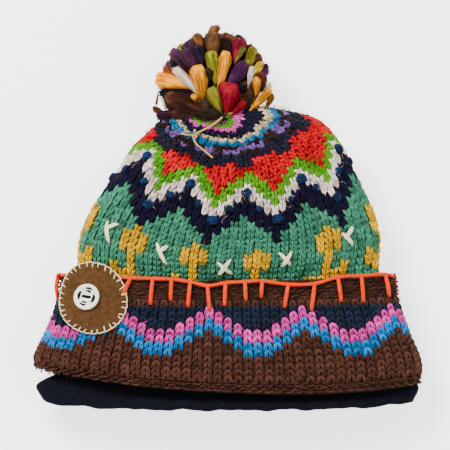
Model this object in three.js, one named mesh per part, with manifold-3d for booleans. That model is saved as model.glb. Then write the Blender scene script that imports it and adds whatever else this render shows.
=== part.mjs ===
// A knitted bobble hat that lies on its back: a patterned crown with a turned-up cuff, a fleece
// lining band, a pompom of loose locks, a felt patch with a button, and a twine tied at the root.
// Millimetres. +Z is up, +Y runs from the hem to the pompom and +X is to the right from above.

import * as THREE from "three";
import { mergeVertices } from "three/addons/utils/BufferGeometryUtils.js";
import Module from "manifold-3d";

const wasm = await Module();
wasm.setup();

// Driving dimensions.

const CROWN_LENGTH = 227; // hem line to the far end of the crown
const CROWN_WIDTH = 226; // crown as it leaves the cuff, laid flat
const CROWN_HEIGHT = 58; // crown above the table
const CUFF_WIDTH = 291; // cuff at its widest, near the hem
const CUFF_HEIGHT = 54; // cuff above the table, at its upper edge
const CUFF_DEPTH = 84; // cuff from its fold to its upper edge
const KNIT_THICKNESS = 5; // stranded chunky wool
const LINING_THICKNESS = 2.5; // fleece
const LINING_DEPTH = 78; // fleece band, up from the hem line
const LINING_SHOW = 12; // fleece that shows below the cuff
const POMPOM_WIDTH = 93;
const POMPOM_LENGTH = 76;
const POMPOM_HEIGHT = 58;
const LOCK_COUNT = 40;
const LOCK_RADIUS = 7.6;
const POMPOM_SIDE_SHIFT = -6; // its middle from the root
const POMPOM_PAST_ROOT = 3; // its near side from the root
const POMPOM_FLARE = 0.25; // share that it is wider beside the crown
const POMPOM_LIFT = 8; // where it lies on the end of the crown
const CORE_SHARE = 0.72; // of the pompom, that its core fills
const LOCK_UNEVENNESS = 0.035; // step between lengths of neighbouring locks
const PATCH_RADIUS = 26.5;
const PATCH_THICKNESS = 1.6;
const PATCH_FROM_FOLD = 67; // its middle
const PATCH_FROM_MIDDLE = -102;
const BUTTON_RADIUS = 10;
const BUTTON_THICKNESS = 3;
const BUTTON_HOLE_RADIUS = 1.3;
const BUTTON_HOLE_SPACING = 5;
const BUTTON_FROM_FOLD = 69; // its middle
const BUTTON_FROM_MIDDLE = -105.5;
const TWINE_RADIUS = 0.75;
const GAP = 0.3; // between pieces that touch

// Facets.

const AROUND = 44; // around the hat
const ARC_SAMPLES = 192; // to space the facets evenly along a row
const LOCK_SIDES = 5;
const GOLDEN_ANGLE = Math.PI * (3 - Math.sqrt(5)); // spreads the locks evenly
const PATCH_SIDES = 32;
const BUTTON_SIDES = 28;
const TWINE_SIDES = 8;
const TWINE_STEPS = 16;

// Rows of the crown, from its lower edge inside the cuff to the root of the pompom. Each row is a
// closed ring: its front and back points lie on the middle line, and bow is how far its two sides
// run ahead of them. Lengths are shares of CROWN_LENGTH, heights of CROWN_HEIGHT, and half widths
// and side shifts of CROWN_WIDTH.

const CROWN_ROWS = [
  // row, front along, front up, back along, back up, half width, side shift, bow along, bow up
  [-20, 0.042, 0.66, 0.089, 0.105, 0.592, 0.0, 0.068, 0.0],
  [-14, 0.133, 0.71, 0.176, 0.1, 0.585, 0.0, 0.045, 0.0],
  [-7, 0.256, 0.757, 0.304, 0.1, 0.537, 0.0, 0.026, 0.0],
  [0, 0.379, 0.81, 0.43, 0.1, 0.5, 0.0, 0.04, 0.0],
  [4, 0.441, 0.94, 0.51, 0.02, 0.497, 0.006, 0.072, 0.0],
  [8, 0.505, 0.983, 0.586, -0.035, 0.46, 0.015, 0.112, 0.0],
  [12, 0.586, 1.0, 0.691, -0.035, 0.398, 0.025, 0.134, 0.0],
  [15, 0.656, 1.0, 0.788, -0.035, 0.35, 0.033, 0.137, 0.0],
  [18, 0.718, 1.0, 0.881, -0.017, 0.306, 0.04, 0.108, 0.0],
  [20, 0.753, 0.991, 0.943, 0.05, 0.276, 0.04, 0.083, 0.02],
  [22, 0.784, 0.983, 0.982, 0.19, 0.245, 0.034, 0.055, 0.05],
  [25, 0.828, 0.965, 1.0, 0.38, 0.195, 0.022, 0.026, 0.035],
  [28, 0.868, 0.94, 0.996, 0.586, 0.146, 0.009, 0.013, 0.02],
  [31, 0.907, 0.897, 0.969, 0.741, 0.075, -0.009, 0.004, 0.0],
  [33, 0.937, 0.845, 0.937, 0.845, 0.002, -0.018, 0.0, 0.0],
];

// Rows of the cuff, from its fold at the hem to its upper edge: lengths are shares of CUFF_DEPTH
// past the fold, heights of CUFF_HEIGHT and half widths of CUFF_WIDTH.

const CUFF_ROWS = [
  // share, front along, front up, back along, back up, half width, side shift, bow along, bow up
  [0.0, -0.125, 0.852, -0.05, -0.037, 0.493, 0.0, 0.172, 0.0],
  [0.2, 0.06, 0.88, 0.19, -0.037, 0.5, 0.0, 0.11, 0.0],
  [0.5, 0.381, 0.926, 0.524, -0.037, 0.47, 0.0, 0.042, 0.0],
  [0.8, 0.667, 0.972, 0.81, -0.037, 0.442, 0.0, 0.036, 0.0],
  [1.0, 0.869, 1.0, 1.03, -0.03, 0.432, 0.0, 0.06, 0.0],
];

// Rows of the lining: lengths are shares of LINING_DEPTH, heights of CUFF_HEIGHT and half widths
// of CUFF_WIDTH.

const LINING_ROWS = [
  // share, front along, front up, back along, back up, half width, side shift, bow along, bow up
  [0.0, -0.115, 0.78, 0.013, -0.01, 0.478, 0.0, 0.05, 0.0],
  [0.12, 0.013, 0.61, 0.09, 0.185, 0.492, 0.0, 0.085, 0.0],
  [0.18, 0.06, 0.58, 0.14, 0.24, 0.476, 0.0, 0.1, 0.0],
  [0.27, 0.16, 0.57, 0.25, 0.25, 0.41, 0.0, 0.125, 0.0],
  [0.45, 0.36, 0.62, 0.47, 0.225, 0.42, 0.0, 0.1, 0.0],
  [1.0, 0.92, 0.7, 1.03, 0.225, 0.37, 0.0, 0.04, 0.0],
];

// Fullness of a row: the exponent of its oval, from the hem to the root.

const HEM_FULLNESS = 2.5;
const ROOT_FULLNESS = 2.0;

// The twine: its middle line from the root of the pompom over its knot to its loose end, chosen by
// hand in the hat's own frame.

const TWINE_POINTS = [
  [-4.2, 211.3, 52.2],
  [-6.9, 208.7, 52.7],
  [-9.8, 206.2, 53.3],
  [-13.0, 203.8, 53.8],
  [-16.6, 201.8, 54.0],
  [-20.3, 200.0, 53.9],
  [-23.4, 198.2, 53.7],
  [-25.0, 195.9, 53.7],
  [-25.3, 193.3, 54.1],
  [-24.4, 190.8, 54.6],
  [-22.7, 188.6, 55.2],
  [-20.5, 186.6, 55.8],
  [-18.2, 184.7, 56.3],
  [-16.0, 182.7, 56.7],
  [-13.8, 180.6, 57.0],
  [-11.6, 178.5, 57.3],
];

// Smooth curve through the columns of a table, by the value in its first column.
function tableAt(rows, at) {
  const last = rows.length - 1;
  let i = rows.findIndex((row) => row[0] > at) - 1;
  if (i < 0) i = at < rows[0][0] ? 0 : last - 1;
  const [before, from] = [rows[Math.max(i - 1, 0)], rows[i]];
  const [to, after] = [rows[i + 1], rows[Math.min(i + 2, last)]];
  const step = to[0] - from[0];
  const t = (at - from[0]) / step;
  return from.slice(1).map((value, k) => {
    const c = k + 1;
    const slopeFrom = ((to[c] - before[c]) / (to[0] - before[0])) * step;
    const slopeTo = ((after[c] - from[c]) / (after[0] - from[0])) * step;
    const a = 2 * (value - to[c]) + slopeFrom + slopeTo;
    const b = 3 * (to[c] - value) - 2 * slopeFrom - slopeTo;
    return ((a * t + b) * t + slopeFrom) * t + value;
  });
}

// A soft surface from a table of rows. It gives the point at a row and a turn, where turn 0 is the
// front's middle line and a quarter turn is the right side. Nothing goes below the table top.
function softSurface(rows, start, length, height, width) {
  const first = rows[0][0];
  const span = rows[rows.length - 1][0] - first;
  return (at, turn) => {
    const [fy, fz, ky, kz, half, shift, bowY, bowZ] = tableAt(rows, at);
    const angle = turn * 2 * Math.PI;
    const fullness = THREE.MathUtils.lerp(HEM_FULLNESS, ROOT_FULLNESS, (at - first) / span);
    const oval = (v) => Math.sign(v) * Math.pow(Math.abs(v), 2 / fullness);
    const side = oval(Math.sin(angle));
    const up = oval(Math.cos(angle));
    const bow = Math.sin(angle) ** 2;
    return new THREE.Vector3(
      (half * side + shift) * width,
      start + ((fy + ky) / 2 + ((fy - ky) / 2) * up + bowY * bow) * length,
      Math.max(((fz + kz) / 2 + ((fz - kz) / 2) * up + bowZ * bow) * height, 0),
    );
  };
}

// Outward direction of a soft surface.
function outward(surface, at, turn, rowStep) {
  const turnStep = 0.004;
  const along = surface(at + rowStep, turn).sub(surface(at - rowStep, turn));
  const around = surface(at, turn + turnStep).sub(surface(at, turn - turnStep));
  return around.cross(along).normalize();
}

// Distances along one row from its front middle, at evenly stepped turns.
function arcLengths(surface, at) {
  const lengths = [0];
  for (let i = 1; i <= ARC_SAMPLES; i++) {
    const step = surface(at, i / ARC_SAMPLES).distanceTo(surface(at, (i - 1) / ARC_SAMPLES));
    lengths.push(lengths[i - 1] + step);
  }
  return lengths;
}

// The turn at a distance along one row.
function turnAtArc(lengths, wanted) {
  const found = lengths.findIndex((length) => length > wanted);
  const i = found < 1 ? 0 : found - 1;
  return (i + (wanted - lengths[i]) / (lengths[i + 1] - lengths[i])) / ARC_SAMPLES;
}

// Turns that space count points evenly along one row.
function evenTurns(surface, at, count) {
  const lengths = arcLengths(surface, at);
  const total = lengths[ARC_SAMPLES];
  return Array.from({ length: count }, (_, k) => turnAtArc(lengths, (total * k) / count));
}

// One ring of points at a distance outside (or, if negative, inside) a soft surface.
function ring(surface, at, distance, rowStep) {
  return evenTurns(surface, at, AROUND).map((turn) => {
    const point = surface(at, turn);
    return point.addScaledVector(outward(surface, at, turn, rowStep), distance);
  });
}

// Closed geometry through rings of as many points each. A ring of one point closes an end, and a
// loop joins the last ring to the first.
function loft(rings, loop = false) {
  const positions = [];
  const starts = [];
  for (const points of rings) {
    starts.push(positions.length / 3);
    for (const p of points) positions.push(p.x, p.y, p.z);
  }
  const index = [];
  const pairs = loop ? rings.length : rings.length - 1;
  for (let i = 0; i < pairs; i++) {
    const j = (i + 1) % rings.length;
    const count = Math.max(rings[i].length, rings[j].length);
    for (let k = 0; k < count; k++) {
      const next = (k + 1) % count;
      const [a, b] = [starts[i] + (k % rings[i].length), starts[i] + (next % rings[i].length)];
      const [c, d] = [starts[j] + (k % rings[j].length), starts[j] + (next % rings[j].length)];
      if (a !== b) index.push(a, b, d);
      if (c !== d) index.push(a, d, c);
    }
  }
  const geometry = new THREE.BufferGeometry();
  geometry.setAttribute("position", new THREE.Float32BufferAttribute(positions, 3));
  geometry.setIndex(index);
  return geometry;
}

// A closed geometry as a solid that can be joined and cut, and back.
function toSolid(geometry) {
  const bare = geometry.clone();
  bare.deleteAttribute("normal");
  bare.deleteAttribute("uv");
  const merged = mergeVertices(bare, 1e-4);
  return new wasm.Manifold(
    new wasm.Mesh({
      numProp: 3,
      vertProperties: merged.attributes.position.array,
      triVerts: new Uint32Array(merged.index.array),
    }),
  );
}

function toGeometry(solid) {
  const mesh = solid.getMesh();
  const geometry = new THREE.BufferGeometry();
  geometry.setAttribute("position", new THREE.BufferAttribute(mesh.vertProperties, 3));
  geometry.setIndex(new THREE.BufferAttribute(mesh.triVerts, 1));
  return geometry;
}

// Surfaces of the three layers.

const crownSurface = softSurface(CROWN_ROWS, 0, CROWN_LENGTH, CROWN_HEIGHT, CROWN_WIDTH);
const cuffSurface = softSurface(CUFF_ROWS, LINING_SHOW, CUFF_DEPTH, CUFF_HEIGHT, CUFF_WIDTH);
const liningSurface = softSurface(LINING_ROWS, 0, LINING_DEPTH, CUFF_HEIGHT, CUFF_WIDTH);
const CROWN_STEP = 0.25; // rows, to measure a slope
const BAND_STEP = 0.02; // shares of a band's depth, to measure a slope
const FOLD_SHARE = 0.065; // share of the cuff's depth that its fold takes
const NARROWING_ROW = 7; // where the crown starts to narrow
const CLOSING_ROW = 18; // where the crown starts to close over its end

// Half the gap at a row between two parts of the crown, in rows. The gap is also left at the sides,
// where the wall slants.
function halfRowGap(row) {
  const twoRows = crownSurface(row + 1, 0.25).distanceTo(crownSurface(row - 1, 0.25));
  return (3.5 * GAP) / twoRows;
}

// A shell whose outer and inner sides lie at their own distances from a soft surface, row by row.
// Its far end closes at a point, or stays open.
function shell(surface, rows, rowStep, end = null) {
  const outer = rows.map(({ at, out }) => ring(surface, at, out, rowStep));
  const inner = rows.map(({ at, inside }) => ring(surface, at, inside, rowStep)).reverse();
  if (end === null) return loft([...outer, ...inner], true);
  const [tip, towards] = [surface(end.at, 0), outward(surface, end.at - 1, 0, rowStep)];
  return loft([...outer, [tip], [tip.clone().addScaledVector(towards, end.inside)], ...inner], true);
}

// The turned-up cuff: one knit layer with a thick fold round the crown's lower edge.
function cuffShell() {
  const wall = -KNIT_THICKNESS;
  const fold = -2 * (KNIT_THICKNESS + GAP);
  return shell(
    cuffSurface,
    [
      { at: 0, out: -0.5 * KNIT_THICKNESS, inside: fold + 0.5 * KNIT_THICKNESS },
      { at: FOLD_SHARE * 0.4, out: -0.1 * KNIT_THICKNESS, inside: fold },
      { at: FOLD_SHARE, out: 0, inside: fold },
      { at: FOLD_SHARE + 0.01, out: 0, inside: wall },
      ...[0.2, 0.4, 0.6, 0.8, 0.95].map((at) => ({ at, out: 0, inside: wall })),
      { at: 1, out: -0.2 * KNIT_THICKNESS, inside: 0.8 * wall },
    ],
    BAND_STEP,
  );
}

// The straight part of the knitted crown, from its lower edge inside the cuff to the row where the
// crown starts to narrow.
function crownSide() {
  return crownBand([-20, -10, -5, 0, 2, 4, 6, NARROWING_ROW - halfRowGap(NARROWING_ROW)]);
}

// The part of the crown that narrows.
function crownTaper() {
  const [first, last] = [NARROWING_ROW, CLOSING_ROW];
  return crownBand([first + halfRowGap(first), 8, 10, 12, 14, 16, last - halfRowGap(last)]);
}

// An open ring of the crown's wall through some rows.
function crownBand(rows) {
  return shell(
    crownSurface,
    rows.map((at) => ({ at, out: 0, inside: -KNIT_THICKNESS })),
    CROWN_STEP,
  );
}

// The closed end of the crown, up to the root of the pompom.
function crownTop() {
  const rows = [CLOSING_ROW + halfRowGap(CLOSING_ROW), 20, 22, 24, 26, 28, 30, 32];
  const inside = -KNIT_THICKNESS;
  return shell(
    crownSurface,
    rows.map((at) => ({ at, out: 0, inside })),
    CROWN_STEP,
    { at: CROWN_ROWS[CROWN_ROWS.length - 1][0], inside },
  );
}

// The fleece lining, a band sewn inside the hem.
function liningShell() {
  const shares = [0, 0.06, 0.12, 0.18, 0.27, 0.45, 0.7, 1];
  return shell(
    liningSurface,
    shares.map((at) => ({ at, out: 0, inside: -LINING_THICKNESS })),
    BAND_STEP,
  );
}

// The crown's outside as one filled solid, for cutting what lies against it.
function crownFilled(clearance) {
  const rows = [-20, -10, 0, 4, 8, 12, 15, 18, 20, 22, 24, 26, 28, 30, 32];
  const rings = rows.map((at) => ring(crownSurface, at, clearance, CROWN_STEP));
  const hem = new THREE.Vector3().addVectors(rings[0][0], rings[0][AROUND / 2]).divideScalar(2);
  const root = rootFrame();
  return loft([[hem], ...rings, [root.point.clone().addScaledVector(root.axis, clearance)]]);
}

// Where the crown closes, and the way it faces there.
function rootFrame() {
  const row = CROWN_ROWS[CROWN_ROWS.length - 1][0];
  return { point: crownSurface(row, 0), axis: outward(crownSurface, row - 1, 0, CROWN_STEP) };
}

// One tapered lock of wool along a curve, with a blunt trimmed end.
function lock(from, through, to, radius) {
  const path = new THREE.QuadraticBezierCurve3(from, through, to);
  const profile = [
    [0.0, 0.35],
    [0.4, 0.75],
    [0.8, 1.0],
    [0.97, 0.8],
  ];
  const rings = profile.map(([t, width]) => {
    const point = path.getPoint(t);
    const side = path.getTangent(t).cross(new THREE.Vector3(0.31, 0.27, 0.91)).normalize();
    const other = path.getTangent(t).cross(side).normalize();
    return Array.from({ length: LOCK_SIDES }, (_, k) => {
      const angle = (k / LOCK_SIDES) * 2 * Math.PI;
      const across = side.clone().multiplyScalar(Math.cos(angle));
      return point.clone().addScaledVector(across.addScaledVector(other, Math.sin(angle)), radius * width);
    });
  });
  return loft([[path.getPoint(0)], ...rings, [path.getPoint(1)]]);
}

// The pompom: locks that fan out from the root round a loose core. It lies on the table beyond the
// crown, which it is cut clear of.
function pompomSolid() {
  const half = new THREE.Vector3(POMPOM_WIDTH, POMPOM_LENGTH, POMPOM_HEIGHT).divideScalar(2);
  const root = rootFrame();
  const centre = new THREE.Vector3(
    root.point.x + POMPOM_SIDE_SHIFT,
    root.point.y + half.y + POMPOM_PAST_ROOT,
    half.z * 0.94,
  );
  const core = new THREE.SphereGeometry(1, 16, 10);
  core.scale(half.x * CORE_SHARE, half.y * CORE_SHARE, half.z * CORE_SHARE);
  core.translate(centre.x, centre.y, centre.z);
  let solid = toSolid(core);
  const knot = root.point.clone().addScaledVector(root.axis, LOCK_RADIUS * 0.6);
  for (let i = 0; i < LOCK_COUNT; i++) {
    const up = 1 - (2 * (i + 0.5)) / LOCK_COUNT;
    const spin = i * GOLDEN_ANGLE;
    const flat = Math.sqrt(1 - up * up);
    const away = new THREE.Vector3(flat * Math.cos(spin), flat * Math.sin(spin), up);
    const reach = 1 - LOCK_UNEVENNESS * ((i * 7) % 5);
    const spread = new THREE.Vector3(1 - POMPOM_FLARE * away.y, 1, 1).multiply(half);
    const tip = away.clone().multiply(spread).multiplyScalar(reach).add(centre);
    const through = away.clone().multiply(spread).multiplyScalar(0.45).add(centre);
    const lift = Math.max(-away.y, 0) * POMPOM_LIFT;
    tip.z = Math.max(tip.z + lift, LOCK_RADIUS * 0.2);
    through.z = Math.max(through.z + lift, LOCK_RADIUS * 0.6);
    solid = solid.add(toSolid(lock(knot, through, tip, LOCK_RADIUS)));
  }
  const table = new THREE.BoxGeometry(3 * POMPOM_WIDTH, 3 * POMPOM_LENGTH, POMPOM_HEIGHT);
  table.translate(centre.x, centre.y, -POMPOM_HEIGHT / 2);
  return solid.subtract(toSolid(table)).subtract(toSolid(crownFilled(GAP)));
}

// A point on the cuff at a distance from its fold and from the front middle, both along the knit.
function onCuff(fromFold, fromMiddle, height) {
  const at = fromFold / CUFF_DEPTH;
  const turn = turnAtArc(arcLengths(cuffSurface, at), Math.abs(fromMiddle)) * Math.sign(fromMiddle);
  return cuffSurface(at, turn).addScaledVector(outward(cuffSurface, at, turn, BAND_STEP), height);
}

// The felt patch, a disc that follows the cuff.
function patchDisc() {
  const under = GAP;
  const top = GAP + PATCH_THICKNESS;
  const circle = (radius, height) =>
    Array.from({ length: PATCH_SIDES }, (_, k) => {
      const angle = (k / PATCH_SIDES) * 2 * Math.PI;
      const across = PATCH_FROM_MIDDLE + radius * Math.cos(angle);
      return onCuff(PATCH_FROM_FOLD + radius * Math.sin(angle), across, height);
    });
  const centre = (height) => [onCuff(PATCH_FROM_FOLD, PATCH_FROM_MIDDLE, height)];
  const radii = [0.35, 0.7, 0.87, 1].map((share) => share * PATCH_RADIUS);
  const below = radii.map((radius) => circle(radius, under));
  const above = radii.map((radius) => circle(radius, top)).reverse();
  return loft([centre(under), ...below, ...above, centre(top)]);
}

// The button: a disc with a rounded edge and two holes, flat on the patch.
function buttonDisc() {
  const [r, h] = [BUTTON_RADIUS, BUTTON_THICKNESS];
  const profile = [
    [0, 0],
    [r * 0.9, 0],
    [r, h * 0.35],
    [r, h * 0.75],
    [r * 0.94, h],
    [r * 0.8, h * 0.93],
    [0, h * 0.87],
  ].map(([x, y]) => new THREE.Vector2(x, y));
  let solid = toSolid(new THREE.LatheGeometry(profile, BUTTON_SIDES));
  for (const side of [-1, 1]) {
    const hole = new THREE.CylinderGeometry(BUTTON_HOLE_RADIUS, BUTTON_HOLE_RADIUS, 3 * h, 12);
    hole.translate((side * BUTTON_HOLE_SPACING) / 2, 0, 0);
    solid = solid.subtract(toSolid(hole));
  }
  return toGeometry(solid);
}

// The twine as a tube along its points.
function twineTube() {
  const path = new THREE.CatmullRomCurve3(TWINE_POINTS.map((p) => new THREE.Vector3(...p)));
  const section = new THREE.Shape();
  for (let k = 0; k < TWINE_SIDES; k++) {
    const angle = (k / TWINE_SIDES) * 2 * Math.PI;
    const [x, y] = [TWINE_RADIUS * Math.cos(angle), TWINE_RADIUS * Math.sin(angle)];
    if (k) section.lineTo(x, y);
    else section.moveTo(x, y);
  }
  return new THREE.ExtrudeGeometry(section, { steps: TWINE_STEPS, extrudePath: path });
}

const wool = (color) => new THREE.MeshStandardMaterial({ color, roughness: 0.95, metalness: 0 });

function part(name, geometry, material) {
  const mesh = new THREE.Mesh(geometry, material);
  mesh.name = name;
  return mesh;
}

const resin = new THREE.MeshStandardMaterial({ color: 0xf8f6e8, roughness: 0.35 });
const button = part("button", buttonDisc(), resin);
const buttonHeight = PATCH_THICKNESS + 2 * GAP;
const buttonSeat = onCuff(BUTTON_FROM_FOLD, BUTTON_FROM_MIDDLE, buttonHeight);
const buttonAxis = onCuff(BUTTON_FROM_FOLD, BUTTON_FROM_MIDDLE, buttonHeight + 1).sub(buttonSeat);
button.position.copy(buttonSeat);
button.quaternion.setFromUnitVectors(new THREE.Vector3(0, 1, 0), buttonAxis.normalize());

const body = new THREE.Group();
body.add(part("crown_side", crownSide(), wool(0x4a9070)));
body.add(part("crown_taper", crownTaper(), wool(0xd8202a)));
body.add(part("crown_top", crownTop(), wool(0xa987ce)));
body.add(part("cuff", cuffShell(), wool(0x55322a)));
body.add(part("lining", liningShell(), wool(0x0b0c14)));
body.add(part("pompom", toGeometry(pompomSolid()), wool(0xe2a02e)));
body.add(part("felt_patch", patchDisc(), wool(0x7d4d28)));
body.add(button);

// The origin is the middle of the hat's box, on the table. The loose twine doesn't move it.
const box = new THREE.Box3().setFromObject(body, true);
const middle = box.getCenter(new THREE.Vector3());
body.add(part("root_twine", twineTube(), wool(0xd9a868)));
body.position.set(-middle.x, -middle.y, -box.min.z);

const hat = new THREE.Group();
hat.add(body);

export default hat;
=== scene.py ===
"""A knitted bobble hat that lies on its back on a pale table.

The crown and the cuff are knitted stitch by stitch from charts of their coloured yarns. Strands of
yarn make the embroidery, the edging, the twine and the locks of the pompom. The fleece lining, the
felt patch and the button are modelled meshes. Lengths are in metres unless a name ends in mm.
"""
import logging
import math
from dataclasses import dataclass, field
from enum import Enum
from functools import partial

import bmesh
import bpy
import numpy as np
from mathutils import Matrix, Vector


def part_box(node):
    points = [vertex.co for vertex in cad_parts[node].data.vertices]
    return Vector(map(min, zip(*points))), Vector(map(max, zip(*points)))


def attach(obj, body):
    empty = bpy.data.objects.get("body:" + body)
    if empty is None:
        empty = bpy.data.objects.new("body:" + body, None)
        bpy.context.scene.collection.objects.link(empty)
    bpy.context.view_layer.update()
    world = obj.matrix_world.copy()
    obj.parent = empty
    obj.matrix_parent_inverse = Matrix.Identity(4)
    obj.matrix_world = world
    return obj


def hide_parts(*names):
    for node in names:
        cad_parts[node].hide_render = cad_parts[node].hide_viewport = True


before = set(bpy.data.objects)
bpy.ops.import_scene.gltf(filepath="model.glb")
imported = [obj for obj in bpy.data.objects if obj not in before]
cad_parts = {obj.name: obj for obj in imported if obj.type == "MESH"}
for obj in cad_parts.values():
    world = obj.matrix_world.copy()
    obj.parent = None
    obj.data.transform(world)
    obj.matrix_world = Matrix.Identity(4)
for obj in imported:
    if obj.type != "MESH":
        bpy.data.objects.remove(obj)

LOG = logging.getLogger("bobble_hat")
MM = 0.001
SEED = 20
ROOT_BODY = "root"
WHITE_LIGHT = "#FFFFFF"
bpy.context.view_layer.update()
OVER_TABLE = 0.3 * MM  # how far the lowest wool stays above the table
WALL_TINT = -0.35  # how much darker the wool behind the stitches lies in shade
WALL_DEPTH_MM = 2.3  # from the surface of the knit down to the wall behind its stitches
STITCH_DEPTH_MM = 1.1  # from the surface of the knit down to the middle of its stitches
THICKEST_MM = 7.0  # the most that a stitch stands out, as a gauge for its strands
KNIT_GAUGE_MM = 6.4  # a stitch, for the plies' pitch along its legs
Array = np.ndarray


class Yarn(Enum):
    """The dyed yarns, each with the sRGB colour of its wool."""

    GREEN = "#478A6C"
    YELLOW = "#E6AE00"
    NAVY = "#130D28"
    ROSE = "#FBE4DA"
    LIME = "#5FA42C"
    RED = "#D4101E"
    CHARCOAL = "#202030"
    LILAC = "#8263A8"
    UMBER = "#2E1E1A"
    TEAL = "#1877A8"
    CREAM = "#E8D8A8"
    PLUM = "#1D1530"
    PINK = "#E567B4"
    TAUPE = "#5A4A44"
    BROWN = "#543429"
    SLATE = "#1D2638"
    FUCHSIA = "#E95BB0"
    BLUE = "#1A86CE"
    KNOT = "#1B3052"
    WHITE = "#FFF2C8"
    ORANGE = "#F84200"
    THREAD = "#EEDDB0"


YARNS = list(Yarn)


def linear(hex_colour: str) -> tuple[float, float, float, float]:
    """Turn an sRGB hex colour to linear RGBA.

    Args:
        hex_colour: The colour as "#RRGGBB".

    Returns:
        Linear red, green, blue and an alpha of one.
    """
    parts = [int(hex_colour[i : i + 2], 16) / 255 for i in (1, 3, 5)]
    rgb = [c / 12.92 if c <= 0.04045 else ((c + 0.055) / 1.055) ** 2.4 for c in parts]
    return (rgb[0], rgb[1], rgb[2], 1.0)


def add_node(
    tree: bpy.types.NodeTree, kind: str, inputs: dict | None = None, **settings: object
) -> bpy.types.Node:
    """Add a node, set its settings, and fill or link its inputs.

    Args:
        tree: The node tree.
        kind: The node's type name.
        inputs: Values or output sockets by the name or number of the input.
        settings: Properties of the node.

    Returns:
        The new node.
    """
    node = tree.nodes.new(kind)
    for name, value in settings.items():
        setattr(node, name, value)
    for key, value in (inputs or {}).items():
        socket = node.inputs[key]
        if isinstance(value, bpy.types.NodeSocket):
            tree.links.new(value, socket)
        else:
            socket.default_value = value
    return node


def new_material(name: str) -> tuple[bpy.types.Material, bpy.types.NodeTree]:
    """Make an empty node material.

    Args:
        name: What the real material is.

    Returns:
        The material and its node tree.
    """
    material = bpy.data.materials.new(name)
    material.use_nodes = True
    material.node_tree.nodes.clear()
    return material, material.node_tree


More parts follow.
